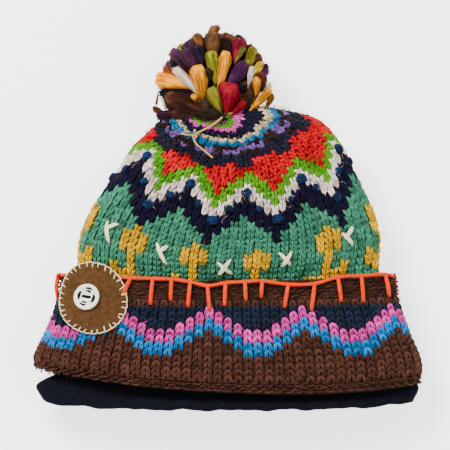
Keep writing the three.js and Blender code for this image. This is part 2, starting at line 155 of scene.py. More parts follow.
@dataclass(frozen=True)
class SpunWool:
    """Dyed wool, spun and plied: fibres drawn along the strand, twisted plies and uneven dye.

    It is matte, with hardly a highlight, and the eye sees short slanted dashes of light and dark:
    painted light on the plies' ridges and painted shade in their grooves.
    Lengths are in mm. Plies and fibres are numbers round the strand, and depth is how light the
    wool is against its dye. The fibres are drawn some ten times as coarse as real ones, to show.
    """

    name: str
    colour: str
    ply_mm: float = 5.0
    plies: float = 2.0
    fibre_mm: float = 3.0
    fibres: float = 3.0
    dye_mm: float = 9.0
    depth: float = 0.66
    unevenness: float = 0.68
    roughness: float = 0.8
    sheen: float = 0.05
    relief: float = 0.7

    # How much fibres, dye and the plies' painted light and shade change the lightness, and the
    # darkest and the lightest sum.
    FIBRE_SHARE, DYE_SHARE, PLY_SHARE = 1.5, 0.6, 0.1
    DARKEST, LIGHTEST = 0.65, 1.45
    APART = (160.0, 160.0, 160.0)
    PLY_RELIEF, RELIEF_DEPTH = 0.4, 0.25 * MM
    LIVELIER = 1.06

    def build(self) -> bpy.types.Material:
        """Build the material. The UV map UVMap runs round and along each strand, along it in mm.

        Returns:
            The wool's material.
        """
        material, tree = new_material(self.name)
        add = partial(add_node, tree)
        uv = add("ShaderNodeUVMap", uv_map="UVMap").outputs[0]
        place = add("ShaderNodeTexCoord").outputs["Object"]
        # Plies wind round the strand: slanted ridges that bump the surface, with painted light on
        # the ridges and painted shade in the grooves, which show as short dashes.
        wound = add("ShaderNodeMapping", {0: uv, 3: (self.plies, 1 / self.ply_mm, 1.0)})
        split = add("ShaderNodeSeparateXYZ", {0: wound.outputs[0]})
        both = add("ShaderNodeMath", {0: split.outputs[0], 1: split.outputs[1]}, operation="ADD")
        turn = add("ShaderNodeMath", {0: both.outputs[0], 1: math.tau}, operation="MULTIPLY")
        ply = add("ShaderNodeMath", {0: turn.outputs[0]}, operation="SINE")
        # Fibres lie along the strand, so the noise is drawn out that way. Each place differs.
        drawn = add("ShaderNodeMapping", {0: uv, 3: (self.fibres, 1 / self.fibre_mm, 1.0)})
        apart = add(
            "ShaderNodeVectorMath",
            {0: place, 1: self.APART, 2: drawn.outputs[0]},
            operation="MULTIPLY_ADD",
        )
        fibre = add(
            "ShaderNodeTexNoise",
            {"Vector": apart.outputs[0], "Scale": 1.0, "Detail": 3.0, "Roughness": 0.65},
        )
        dye = add(
            "ShaderNodeTexNoise", {"Vector": place, "Scale": 1 / (self.dye_mm * MM), "Detail": 2.0}
        )
        tint = add("ShaderNodeAttribute", attribute_name="tint").outputs["Fac"]
        # Fibre, dye, the plies' painted light and shade, and the tint of each strand or wall add up
        # to how light the wool looks. The tint is random tone, and painted shade on walls and knot
        # cores.
        with_fibre = add(
            "ShaderNodeMath",
            {0: fibre.outputs[0], 1: self.FIBRE_SHARE, 2: tint},
            operation="MULTIPLY_ADD",
        )
        with_dye = add(
            "ShaderNodeMath",
            {0: dye.outputs[0], 1: self.DYE_SHARE, 2: with_fibre.outputs[0]},
            operation="MULTIPLY_ADD",
        )
        lightness = add(
            "ShaderNodeMath",
            {0: ply.outputs[0], 1: self.PLY_SHARE, 2: with_dye.outputs[0]},
            operation="MULTIPLY_ADD",
        )
        shade = add(
            "ShaderNodeMapRange",
            {
                "Value": lightness.outputs[0],
                "From Min": self.DARKEST,
                "From Max": self.LIGHTEST,
                "To Min": self.depth * (1 - self.unevenness),
                "To Max": self.depth * (1 + self.unevenness),
            },
        )
        colour = add(
            "ShaderNodeHueSaturation",
            {"Value": shade.outputs[0], "Color": linear(self.colour), "Saturation": self.LIVELIER},
        )
        ridge = add(
            "ShaderNodeMath",
            {0: ply.outputs[0], 1: self.PLY_RELIEF, 2: fibre.outputs[0]},
            operation="MULTIPLY_ADD",
        )
        bump = add(
            "ShaderNodeBump",
            {"Height": ridge.outputs[0], "Strength": self.relief, "Distance": self.RELIEF_DEPTH},
        )
        surface = add(
            "ShaderNodeBsdfPrincipled",
            {
                "Base Color": colour.outputs[0],
                "Normal": bump.outputs[0],
                "Roughness": self.roughness,
                "Sheen Weight": self.sheen,
                "Sheen Roughness": 0.45,
                "Sheen Tint": linear(self.colour),
                "Specular IOR Level": 0.1,
            },
        )
        add("ShaderNodeOutputMaterial", {0: surface.outputs[0]})
        return material


@dataclass(frozen=True)
class PressedFibre:
    """Felt or fleece: matted short fibres with no thread to see.

    It has no highlight, a faint bloom at grazing angles, and flecks where fibres lie paler. The
    fibres and the clumps are drawn a little coarser than real ones, so that they show.
    """

    name: str
    colour: str
    fleck: str
    fibre_mm: float = 1.1
    clump_mm: float = 6.0
    depth_mm: float = 0.5
    roughness: float = 0.95
    sheen: float = 0.08

    def build(self) -> bpy.types.Material:
        """Build the material from matted fibres and larger clumps.

        Returns:
            The felt's or fleece's material.
        """
        material, tree = new_material(self.name)
        add = partial(add_node, tree)
        place = add("ShaderNodeTexCoord").outputs["Object"]
        # Short fibres lie in all directions, so the noise is stretched two ways and added.
        across = add("ShaderNodeMapping", {0: place, 3: (1.0, 0.35, 1.0), 2: (0.0, 0.0, 0.6)})
        along = add("ShaderNodeMapping", {0: place, 3: (0.35, 1.0, 1.0), 2: (0.0, 0.0, 1.1)})
        scale = 1 / (self.fibre_mm * MM)
        one = add(
            "ShaderNodeTexNoise", {"Vector": across.outputs[0], "Scale": scale, "Detail": 4.0}
        )
        two = add("ShaderNodeTexNoise", {"Vector": along.outputs[0], "Scale": scale, "Detail": 4.0})
        matted = add("ShaderNodeMath", {0: one.outputs[0], 1: two.outputs[0]}, operation="MAXIMUM")
        clump = add(
            "ShaderNodeTexNoise",
            {"Vector": place, "Scale": 1 / (self.clump_mm * MM), "Detail": 2.0},
        )
        height = add(
            "ShaderNodeMath",
            {0: clump.outputs[0], 1: 0.8, 2: matted.outputs[0]},
            operation="MULTIPLY_ADD",
        )
        share = add(
            "ShaderNodeMapRange", {"Value": height.outputs[0], "From Min": 0.65, "From Max": 1.2}
        )
        colour = add(
            "ShaderNodeMix",
            {0: share.outputs[0], 6: linear(self.colour), 7: linear(self.fleck)},
            data_type="RGBA",
        )
        bump = add(
            "ShaderNodeBump",
            {"Height": height.outputs[0], "Strength": 0.8, "Distance": self.depth_mm * MM},
        )
        surface = add(
            "ShaderNodeBsdfPrincipled",
            {
                "Base Color": colour.outputs[2],
                "Normal": bump.outputs[0],
                "Roughness": self.roughness,
                "Sheen Weight": self.sheen,
                "Sheen Roughness": 0.5,
                "Specular IOR Level": 0.05,
            },
        )
        add("ShaderNodeOutputMaterial", {0: surface.outputs[0]})
        return material


@dataclass(frozen=True)
class CastResin:
    """Cast polyester resin, tumbled smooth: one soft highlight over a faintly cloudy colour."""

    name: str
    colour: str
    cloud: str
    roughness: float = 0.28
    ior: float = 1.55

    def build(self) -> bpy.types.Material:
        """Build the material, with clouds about 5 mm across and fine polishing marks.

        Returns:
            The resin's material.
        """
        material, tree = new_material(self.name)
        add = partial(add_node, tree)
        place = add("ShaderNodeTexCoord").outputs["Object"]
        cloud = add("ShaderNodeTexNoise", {"Vector": place, "Scale": 200.0, "Detail": 3.0})
        mark = add("ShaderNodeTexNoise", {"Vector": place, "Scale": 2500.0, "Detail": 2.0})
        colour = add(
            "ShaderNodeMix",
            {0: cloud.outputs[0], 6: linear(self.colour), 7: linear(self.cloud)},
            data_type="RGBA",
        )
        rough = add(
            "ShaderNodeMapRange",
            {
                "Value": mark.outputs[0],
                "To Min": self.roughness - 0.05,
                "To Max": self.roughness + 0.12,
            },
        )
        bump = add(
            "ShaderNodeBump", {"Height": mark.outputs[0], "Strength": 0.15, "Distance": 0.05 * MM}
        )
        surface = add(
            "ShaderNodeBsdfPrincipled",
            {
                "Base Color": colour.outputs[2],
                "Roughness": rough.outputs[0],
                "Normal": bump.outputs[0],
                "IOR": self.ior,
            },
        )
        add("ShaderNodeOutputMaterial", {0: surface.outputs[0]})
        return material


class Dyehouse:
    """Builds each finish once and hands it out again."""

    def __init__(self) -> None:
        """Start with no materials."""
        self.made: dict[str, bpy.types.Material] = {}

    def get(self, finish: SpunWool | PressedFibre | CastResin) -> bpy.types.Material:
        """Find the material of a finish, and build it on first use.

        Args:
            finish: The finish.

        Returns:
            Its material.
        """
        if finish.name not in self.made:
            self.made[finish.name] = finish.build()
        return self.made[finish.name]

    def yarn(self, yarn: Yarn) -> bpy.types.Material:
        """Return the knitting wool of a yarn."""
        return self.get(SpunWool(f"wool_{yarn.name.lower()}", yarn.value))


DYES = Dyehouse()


def unit(vectors: Array) -> Array:
    """Return vectors brought to length one, along the last axis."""
    return vectors / np.maximum(np.linalg.norm(vectors, axis=-1, keepdims=True), 1e-12)


@dataclass(frozen=True)
class SoftSurface:
    """A soft knitted surface from a table of rows, as on the solid model.

    A turn of 0 is the front's middle line and a quarter turn is the right side. The table's columns
    are row, front along, front up, back along, back up, half width, side shift, bow along, bow up.
    Start, length, height, width and shift are in mm. Skew lowers the right of the first row and
    raises its left, as a share of the distance from the middle.
    """

    rows: Array
    start: float
    length: float
    height: float
    width: float
    shift: float = 0.0
    skew: float = 0.0

    HEM_FULLNESS = 2.5
    ROOT_FULLNESS = 2.0
    ARC_SAMPLES = 256
    ROW_STEP, TURN_STEP = 0.005, 0.006

    def table(self, at: Array) -> Array:
        """Read the table along a smooth curve through its rows.

        Args:
            at: Row values, in any shape.

        Returns:
            The eight other columns, as the last axis.
        """
        keys = self.rows[:, 0]
        i = np.clip(np.searchsorted(keys, at, side="right") - 1, 0, len(keys) - 2)
        before, after = np.maximum(i - 1, 0), np.minimum(i + 2, len(keys) - 1)
        step = keys[i + 1] - keys[i]
        t = ((at - keys[i]) / step)[..., None]
        low, high = self.rows[i, 1:], self.rows[i + 1, 1:]
        step = step[..., None]
        slope_low = (high - self.rows[before, 1:]) / (keys[i + 1] - keys[before])[..., None] * step
        slope_high = (self.rows[after, 1:] - low) / (keys[after] - keys[i])[..., None] * step
        cubic = 2 * (low - high) + slope_low + slope_high
        square = 3 * (high - low) - 2 * slope_low - slope_high
        return ((cubic * t + square) * t + slope_low) * t + low

    def points(self, at: Array, turn: Array) -> Array:
        """Find the points at rows and turns.

        Args:
            at: Row values.
            turn: Turns, of a shape that goes with the rows.

        Returns:
            The points in metres, with x, y, z as the last axis.
        """
        at, turn = np.broadcast_arrays(np.asarray(at, float), np.asarray(turn, float))
        fy, fz, ky, kz, half, aside, bow_y, bow_z = np.moveaxis(self.table(at), -1, 0)
        share = (at - self.rows[0, 0]) / (self.rows[-1, 0] - self.rows[0, 0])
        fullness = self.HEM_FULLNESS + (self.ROOT_FULLNESS - self.HEM_FULLNESS) * share
        sine, cosine = np.sin(turn * math.tau), np.cos(turn * math.tau)
        side = np.sign(sine) * np.abs(sine) ** (2 / fullness)
        up = np.sign(cosine) * np.abs(cosine) ** (2 / fullness)
        x = (half * side + aside) * self.width
        y = self.start + ((fy + ky) / 2 + (fy - ky) / 2 * up + bow_y * sine**2) * self.length
        y = y - self.skew * x * (1 - share) ** 3
        z = np.maximum(((fz + kz) / 2 + (fz - kz) / 2 * up + bow_z * sine**2) * self.height, 0.0)
        return np.stack([x, y + self.shift, z], axis=-1) * MM

    def frame(self, at: Array, turn: Array) -> tuple[Array, Array, Array]:
        """Find how the surface lies at rows and turns.

        Args:
            at: Row values.
            turn: Turns, of the same shape.

        Returns:
            Points, outward normals and the directions up the knit.
        """
        row_step = (self.rows[-1, 0] - self.rows[0, 0]) * self.ROW_STEP
        at = np.asarray(at, float)
        point = self.points(at, turn)
        along = self.points(at + row_step, turn) - self.points(at - row_step, turn)
        turn = np.asarray(turn)
        around = self.points(at, turn + self.TURN_STEP) - self.points(at, turn - self.TURN_STEP)
        return point, unit(np.cross(around, along)), unit(along)

    def arc(self, at: float) -> Array:
        """Measure along one row.

        Args:
            at: The row.

        Returns:
            Lengths in metres from the row's front middle, at evenly stepped turns.
        """
        ring = self.points(at, np.linspace(0, 1, self.ARC_SAMPLES + 1))
        steps = np.linalg.norm(np.diff(ring, axis=0), axis=1)
        return np.concatenate([[0.0], np.cumsum(steps)])

    def turns(self, at: float, share: Array) -> Array:
        """Return the turns at shares of one row's length from its front middle."""
        arc = self.arc(at)
        return np.interp(np.mod(share, 1.0) * arc[-1], arc, np.linspace(0, 1, self.ARC_SAMPLES + 1))

    def at_shares(self, at: Array, share: Array) -> tuple[Array, Array, Array]:
        """Return the frame at rows and shares of a row's length. Both are flat arrays."""
        turn = np.array([self.turns(a, s) for a, s in zip(at, share)])
        return self.frame(np.asarray(at, float), turn)


# The columns are those that SoftSurface names.
CROWN_ROWS = np.array(
    [
        [-20, 0.042, 0.66, 0.089, 0.105, 0.592, 0, 0.068, 0],
        [-14, 0.133, 0.71, 0.176, 0.1, 0.585, 0, 0.045, 0],
        [-7, 0.256, 0.757, 0.304, 0.1, 0.537, 0, 0.026, 0],
        [0, 0.379, 0.81, 0.43, 0.1, 0.5, 0, 0.04, 0],
        [4, 0.441, 0.94, 0.51, 0.02, 0.497, 0.006, 0.072, 0],
        [8, 0.505, 0.983, 0.586, -0.035, 0.46, 0.015, 0.112, 0],
        [12, 0.586, 1, 0.691, -0.035, 0.398, 0.025, 0.134, 0],
        [15, 0.656, 1, 0.788, -0.035, 0.35, 0.033, 0.137, 0],
        [18, 0.718, 1, 0.881, -0.017, 0.306, 0.04, 0.108, 0],
        [20, 0.753, 0.991, 0.943, 0.05, 0.276, 0.04, 0.083, 0.02],
        [22, 0.784, 0.983, 0.982, 0.19, 0.245, 0.034, 0.055, 0.05],
        [25, 0.828, 0.965, 1, 0.38, 0.195, 0.022, 0.026, 0.035],
        [28, 0.868, 0.94, 0.996, 0.586, 0.146, 0.009, 0.013, 0.02],
        [31, 0.907, 0.897, 0.969, 0.741, 0.075, -0.009, 0.004, 0],
        [33, 0.937, 0.845, 0.937, 0.845, 0.002, -0.018, 0, 0],
    ]
)
CUFF_ROWS = np.array(
    [
        [0, -0.125, 0.852, -0.05, -0.037, 0.493, 0, 0.172, 0],
        [0.2, 0.06, 0.88, 0.19, -0.037, 0.5, 0, 0.11, 0],
        [0.5, 0.381, 0.926, 0.524, -0.037, 0.47, 0, 0.042, 0],
        [0.8, 0.667, 0.972, 0.81, -0.037, 0.442, 0, 0.036, 0],
        [1, 0.869, 1, 1.03, -0.03, 0.432, 0, 0.06, 0],
    ]
)
LINING_ROWS = np.array(
    [
        [0, -0.115, 0.78, 0.013, -0.01, 0.478, 0, 0.05, 0],
        [0.12, 0.013, 0.61, 0.09, 0.185, 0.492, 0, 0.085, 0],
        [0.18, 0.06, 0.58, 0.14, 0.24, 0.476, 0, 0.1, 0],
        [0.27, 0.16, 0.57, 0.25, 0.25, 0.41, 0, 0.125, 0],
        [0.45, 0.36, 0.62, 0.47, 0.225, 0.42, 0, 0.1, 0],
        [1, 0.92, 0.7, 1.03, 0.225, 0.37, 0, 0.04, 0],
    ]
)
CROWN_SIZE = (0.0, 227.0, 58.0, 226.0)  # start, length, height and width, in mm
CUFF_SIZE = (12.0, 84.0, 54.0, 291.0)
LINING_SIZE = (0.0, 78.0, 54.0, 291.0)
KNIT_THICKNESS = 5 * MM
LINING_THICKNESS = 2.5 * MM


def hat_shift_mm() -> float:
    """Return how far the solid model's frame lies from the hat's own, along the hat, in mm."""
    crown = SoftSurface(CROWN_ROWS, *CROWN_SIZE)
    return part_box("crown_side")[0][1] / MM - crown.points(CROWN_ROWS[0, 0], 0.0)[1] / MM


SHIFT_MM = hat_shift_mm()
CROWN = SoftSurface(CROWN_ROWS, *CROWN_SIZE, shift=SHIFT_MM)
CUFF = SoftSurface(CUFF_ROWS, *CUFF_SIZE, shift=SHIFT_MM, skew=0.045)
LINING = SoftSurface(LINING_ROWS, *LINING_SIZE, shift=SHIFT_MM)


def link_object(name: str, data: bpy.types.ID) -> bpy.types.Object:
    """Make an object of some data and link it to the scene.

    Args:
        name: Name of the object.
        data: Its mesh, light or camera.

    Returns:
        The object.
    """
    obj = bpy.data.objects.new(name, data)
    bpy.context.collection.objects.link(obj)
    return obj


def mesh_object(
    name: str, verts: Array, faces: list, materials: list[bpy.types.Material]
) -> bpy.types.Object:
    """Make a smooth mesh object.

    Args:
        name: Name of the object.
        verts: Its points in metres.
        faces: Its faces as numbers of points.
        materials: Its materials.

    Returns:
        The linked object.
    """
    mesh = bpy.data.meshes.new(name)
    mesh.from_pydata(np.asarray(verts, float).tolist(), [], faces)
    for material in materials:
        mesh.materials.append(material)
    mesh.polygons.foreach_set("use_smooth", [True] * len(mesh.polygons))
    return link_object(name, mesh)


def band_faces(rings: int, around: int) -> list[tuple[int, int, int, int]]:
    """Join rings of points, each to the next and the last to the first.

    Args:
        rings: Number of rings.
        around: Points in a ring.

    Returns:
        The faces, ring by ring.
    """
    faces = []
    for i in range(rings):
        j = (i + 1) % rings
        for k in range(around):
            n = (k + 1) % around
            faces.append((i * around + k, i * around + n, j * around + n, j * around + k))
    return faces


def knit_wall(name: str, rings: list[Array], yarn: list[int]) -> bpy.types.Object:
    """Model the wall behind the stitches, in the dark tint of wool that lies in shade.

    Args:
        name: Name of the piece.
        rings: Rings of points, up the outside and down the inside.
        yarn: Yarn number of each face, ring by ring.

    Returns:
        The wall.
    """
    faces = band_faces(len(rings), len(rings[0]))
    obj = mesh_object(name, np.concatenate(rings), faces, [DYES.yarn(kind) for kind in YARNS])
    obj.data.polygons.foreach_set("material_index", np.array(yarn, np.int32))
    tint = np.full(len(obj.data.vertices), WALL_TINT)
    obj.data.attributes.new("tint", "FLOAT", "POINT").data.foreach_set("value", tint)
    return obj


def wall_ring(surface: SoftSurface, at: float, share: Array, depth: float) -> Array:
    """Place one ring of a wall, never below the table.

    Args:
        surface: The outer surface of the knit.
        at: The row.
        share: Shares of the row's length, from its front middle.
        depth: How far the ring lies under the surface, in metres.

    Returns:
        The ring's points.
    """
    point, out, _ = surface.frame(np.full(len(share), at), surface.turns(at, share))
    ring = point - out * depth
    ring[:, 2] = np.maximum(ring[:, 2], OVER_TABLE + depth * 0.2)
    return ring


def dress(obj: bpy.types.Object, slot: str, *nodes: str) -> bpy.types.Object:
    """Let a piece ride on the hat and stand for CAD nodes.

    Args:
        obj: The piece.
        slot: Its material slot; not used.
        nodes: Names of the CAD nodes that it replaces.

    Returns:
        The piece.
    """
    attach(obj, ROOT_BODY)
    if nodes:
        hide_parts(*nodes)
    LOG.info("%s: %d faces", obj.name, len(obj.data.polygons))
    return obj


def smooth_path(points: Array, count: int) -> Array:
    """Run a smooth curve through some points.

    Args:
        points: The points that it passes through.
        count: How many points to give back.

    Returns:
        Points evenly spaced along the curve.
    """
    points = np.asarray(points, float)
    padded = np.vstack([2 * points[0] - points[1], points, 2 * points[-1] - points[-2]])
    t = np.linspace(0, 1, 12, endpoint=False)[:, None]
    pieces = []
    for a, b, c, d in zip(padded, padded[1:], padded[2:], padded[3:]):
        square, cube = 2 * a - 5 * b + 4 * c - d, 3 * b - a - 3 * c + d
        pieces.append(0.5 * (2 * b + (c - a) * t + square * t**2 + cube * t**3))
    dense = np.vstack(pieces + [points[-1:]])
    length = np.concatenate([[0], np.cumsum(np.linalg.norm(np.diff(dense, axis=0), axis=1))])
    wanted = np.linspace(0, length[-1], count)
    return np.stack([np.interp(wanted, length, dense[:, k]) for k in range(3)], axis=1)


class Strands:
    """Round strands along paths, as one mesh with a UV map that runs round and along them."""

    ANY_WAY = (0.31, 0.27, 0.91)

    def __init__(self, name: str, sides: int = 6) -> None:
        """Start with no strands.

        Args:
            name: Name of the mesh.
            sides: Number of sides of each strand.
        """
        self.name = name
        self.sides = sides
        self.verts: list[Array] = []
        self.quads: list[Array] = []
        self.uvs: list[Array] = []
        self.index: list[Array] = []
        self.tints: list[Array] = []
        self.count = 0

    def add(
        self,
        paths: Array,
        radii: Array,
        material: Array | int,
        tint: Array | float = 0.0,
        flat: float = 1.0,
        lean: Array | None = None,
    ) -> None:
        """Add strands that have as many points each.

        Args:
            paths: Points of the middle lines, (strands, points, 3).
            radii: Radii at the points, (points,) or (strands, points).
            material: Material number of each strand.
            tint: Lightness offset of each strand.
            flat: Thickness across the lean direction as a share of the width.
            lean: Directions that the flat side faces, (strands, 3).
        """
        paths = np.asarray(paths, float)
        strands, steps, _ = paths.shape
        radii = np.broadcast_to(np.asarray(radii, float), (strands, steps))
        tangents = unit(np.gradient(paths, axis=1))
        guide = np.array(self.ANY_WAY) if lean is None else np.asarray(lean, float)[:, None, :]
        side = unit(np.cross(tangents, np.broadcast_to(guide, tangents.shape)))
        other = np.cross(side, tangents)
        angle = np.arange(self.sides) / self.sides * math.tau
        cosine, sine = np.cos(angle)[:, None], flat * np.sin(angle)[:, None]
        ring = cosine * side[:, :, None, :] + sine * other[:, :, None, :]
        verts = paths[:, :, None, :] + ring * radii[:, :, None, None]
        number = np.arange(strands * steps * self.sides)
        base = self.count + number.reshape(strands, steps, self.sides)
        nxt = np.roll(base, -1, axis=2)
        quads = np.stack([base[:, :-1], nxt[:, :-1], nxt[:, 1:], base[:, 1:]], axis=-1)
        length = np.cumsum(np.linalg.norm(np.diff(paths, axis=1), axis=2), axis=1)
        v = np.concatenate([np.zeros((strands, 1)), length], axis=1) / MM
        u = np.arange(self.sides + 1) / self.sides
        low, high = v[:, :-1, None], v[:, 1:, None]
        here = np.broadcast_to(u[:-1], quads.shape[:3])
        there = np.broadcast_to(u[1:], quads.shape[:3])
        corners = [(here, low), (there, low), (there, high), (here, high)]
        uv = np.stack([np.stack(np.broadcast_arrays(a, b), axis=-1) for a, b in corners], axis=3)
        faces = strands * (steps - 1) * self.sides
        self.verts.append(verts.reshape(-1, 3))
        self.quads.append(quads.reshape(-1, 4))
        self.uvs.append(uv.reshape(-1, 2))
        self.index.append(np.repeat(np.broadcast_to(material, strands), faces // strands))
        self.tints.append(np.repeat(np.broadcast_to(tint, strands), steps * self.sides))
        self.count += strands * steps * self.sides

    def build(self, materials: list[bpy.types.Material]) -> bpy.types.Object:
        """Make the mesh object, with its open ends closed.

        Args:
            materials: The materials that the strands' numbers stand for.

        Returns:
            The linked object.
        """
        verts, quads = np.concatenate(self.verts), np.concatenate(self.quads)
        mesh = bpy.data.meshes.new(self.name)
        mesh.vertices.add(len(verts))
        mesh.vertices.foreach_set("co", verts.ravel())
        mesh.loops.add(quads.size)
        mesh.loops.foreach_set("vertex_index", quads.ravel())
        mesh.polygons.add(len(quads))
        mesh.polygons.foreach_set("loop_start", np.arange(len(quads)) * 4)
        mesh.polygons.foreach_set("material_index", np.concatenate(self.index).astype(np.int32))
        mesh.polygons.foreach_set("use_smooth", np.ones(len(quads), bool))
        mesh.update(calc_edges=True)
        mesh.uv_layers.new(name="UVMap").data.foreach_set("uv", np.concatenate(self.uvs).ravel())
        tint = mesh.attributes.new("tint", "FLOAT", "POINT")
        tint.data.foreach_set("value", np.concatenate(self.tints))
        for material in materials:
            mesh.materials.append(material)
        shape = bmesh.new()
        shape.from_mesh(mesh)
        bmesh.ops.holes_fill(shape, edges=[e for e in shape.edges if e.is_boundary], sides=0)
        shape.to_mesh(mesh)
        shape.free()
        mesh.validate()
        return link_object(self.name, mesh)


def taper(count: int, low: float = 0.15, power: float = 0.5) -> Array:
    """Return a profile that swells from thin ends to one in the middle."""
    return low + (1 - low) * np.sin(np.linspace(0, math.pi, count)) ** power


class StitchForm(Enum):
    """The two faces of a knitted stitch."""

    KNIT = "knit"
    PURL = "purl"


@dataclass
class StitchBed:
    """The places of one bed of stitches: where each lies, how it faces, its size and its yarn."""

    points: Array
    out: Array
    along: Array
    gauge: Array
    yarn: Array
    cell: Array

    @classmethod
    def of_rows(cls, rows: list[tuple[Array, ...]]) -> "StitchBed":
        """Join rows of stitches to one bed, and give each stitch a cell of the unit square.

        Args:
            rows: Points, outward and upward directions, gauges and yarn numbers of each row.

        Returns:
            The bed.
        """
        stacked = [np.concatenate(values) for values in zip(*rows)]
        count = len(stacked[0])
        wide = math.ceil(math.sqrt(count))
        number = np.arange(count)
        corners = [number % wide / wide, number // wide / wide, np.full(count, 1 / wide)]
        return cls(*stacked, cell=np.stack(corners, axis=1))


class StitchMaker:
    """Makes stitches by Geometry Nodes: one stitch set on each point of a bed, in its yarn."""

    SIDES = 5
    STEPS = 5
    # Strands in shares of a stitch: across, up the knit, outwards. A knit stitch has a right leg of
    # two strands, which its left leg mirrors, and a purl stitch has two strands across.
    KNIT = (
        (
            (0.02, -0.72, -0.13),
            (0.075, -0.32, 0.0),
            (0.135, 0.12, 0.06),
            (0.18, 0.54, -0.02),
            (0.22, 0.92, -0.3),
        ),
        (
            (0.165, -0.62, -0.18),
            (0.24, -0.22, -0.04),
            (0.32, 0.22, 0.02),
            (0.385, 0.64, -0.06),
            (0.42, 1.04, -0.32),
        ),
    )
    PURL = (
        (
            (-0.5, -0.12, -0.36),
            (-0.33, 0.2, -0.02),
            (0.0, 0.36, 0.12),
            (0.33, 0.2, -0.02),
            (0.5, -0.12, -0.36),
        ),
        (
            (0.02, 0.16, -0.36),
            (0.2, -0.2, -0.04),
            (0.5, -0.36, 0.1),
            (0.8, -0.2, -0.04),
            (0.98, 0.16, -0.36),
        ),
    )
    RADIUS = 0.122
    TINT_SPREAD = 0.14
    CELL_EDGE = 0.04

    def __init__(self) -> None:
        """Make the two forms of stitch and the tree."""
        self.forms = {form: self.stitch(form) for form in StitchForm}
        self.tree = self.build_tree()

    def stitch(self, form: StitchForm) -> bpy.types.Object:
        """Model one stitch of unit size.

        Args:
            form: Knit or purl.

        Returns:
            An object that isn't linked to the scene, for the tree to set.
        """
        strands = Strands(f"stitch_{form.value}", self.SIDES)
        shapes = self.KNIT if form is StitchForm.KNIT else self.PURL
        paths = np.stack([smooth_path(np.array(shape), self.STEPS) for shape in shapes])
        if form is StitchForm.KNIT:
            paths = np.concatenate([paths, paths * (-1.0, 1.0, 1.0)])
        strands.add(paths, taper(self.STEPS, 0.35, 0.8) * self.RADIUS, 0)
        obj = strands.build([])
        obj.data.attributes.remove(obj.data.attributes["tint"])
        for layer in obj.data.uv_layers:
            uvs = np.empty(len(layer.data) * 2)
            layer.data.foreach_get("uv", uvs)
            uvs[1::2] *= MM * KNIT_GAUGE_MM
            layer.data.foreach_set("uv", uvs)
        bpy.context.collection.objects.unlink(obj)
        return obj

    def build_tree(self) -> bpy.types.NodeTree:
        """Build the tree: a stitch on each point, a little different each time, in its yarn.

        Returns:
            The Geometry Nodes tree.
        """
        tree = bpy.data.node_groups.new("Stitches", "GeometryNodeTree")
        add = partial(add_node, tree)
        face = tree.interface
        face.new_socket("Geometry", in_out="INPUT", socket_type="NodeSocketGeometry")
        face.new_socket("Stitch", in_out="INPUT", socket_type="NodeSocketObject")
        face.new_socket("Sway", in_out="INPUT", socket_type="NodeSocketFloat")
        face.new_socket("Uneven Size", in_out="INPUT", socket_type="NodeSocketFloat")
        face.new_socket("Seed", in_out="INPUT", socket_type="NodeSocketInt")
        face.new_socket("Geometry", in_out="OUTPUT", socket_type="NodeSocketGeometry")
        given = add("NodeGroupInput").outputs
        out, along, gauge = (
            add("GeometryNodeInputNamedAttribute", {0: key}, data_type="FLOAT_VECTOR").outputs[0]
            for key in ("out", "along", "gauge")
        )
        axes = add(
            "FunctionNodeAxesToRotation", {0: out, 1: along}, primary_axis="Z", secondary_axis="Y"
        )
        minus = add("ShaderNodeMath", {0: given["Sway"], 1: -1.0}, operation="MULTIPLY")
        low = add("ShaderNodeCombineXYZ", {i: minus.outputs[0] for i in range(3)})
        high = add("ShaderNodeCombineXYZ", {i: given["Sway"] for i in range(3)})
        sway = add(
            "FunctionNodeRandomValue",
            {0: low.outputs[0], 1: high.outputs[0], "Seed": given["Seed"]},
            data_type="FLOAT_VECTOR",
        )
        turned = add(
            "FunctionNodeRotateRotation",
            {0: axes.outputs[0], 1: sway.outputs[0]},
            rotation_space="LOCAL",
        )
        small = add("ShaderNodeMath", {0: 1.0, 1: given["Uneven Size"]}, operation="SUBTRACT")
        large = add("ShaderNodeMath", {0: 1.0, 1: given["Uneven Size"]}, operation="ADD")
        size = add(
            "FunctionNodeRandomValue",
            {2: small.outputs[0], 3: large.outputs[0], "Seed": given["Seed"]},
            data_type="FLOAT",
        )
        scale = add("ShaderNodeVectorMath", {0: gauge, "Scale": size.outputs[1]}, operation="SCALE")
        source = add("GeometryNodeObjectInfo", {0: given["Stitch"]})
        placed = add(
            "GeometryNodeInstanceOnPoints",
            {
                "Points": given["Geometry"],
                "Instance": source.outputs["Geometry"],
                "Rotation": turned.outputs[0],
                "Scale": scale.outputs[0],
            },
        )
        real = add("GeometryNodeRealizeInstances", {0: placed.outputs[0]})
        yarn = add("GeometryNodeInputNamedAttribute", {0: "yarn"}, data_type="INT").outputs[0]
        last = real.outputs[0]
        for number, kind in enumerate(YARNS):
            same = add(
                "FunctionNodeCompare", {2: yarn, 3: number}, data_type="INT", operation="EQUAL"
            )
            painted = add(
                "GeometryNodeSetMaterial",
                {"Geometry": last, "Selection": same.outputs[0], "Material": DYES.yarn(kind)},
            )
            last = painted.outputs[0]
        add("NodeGroupOutput", {0: last})
        return tree

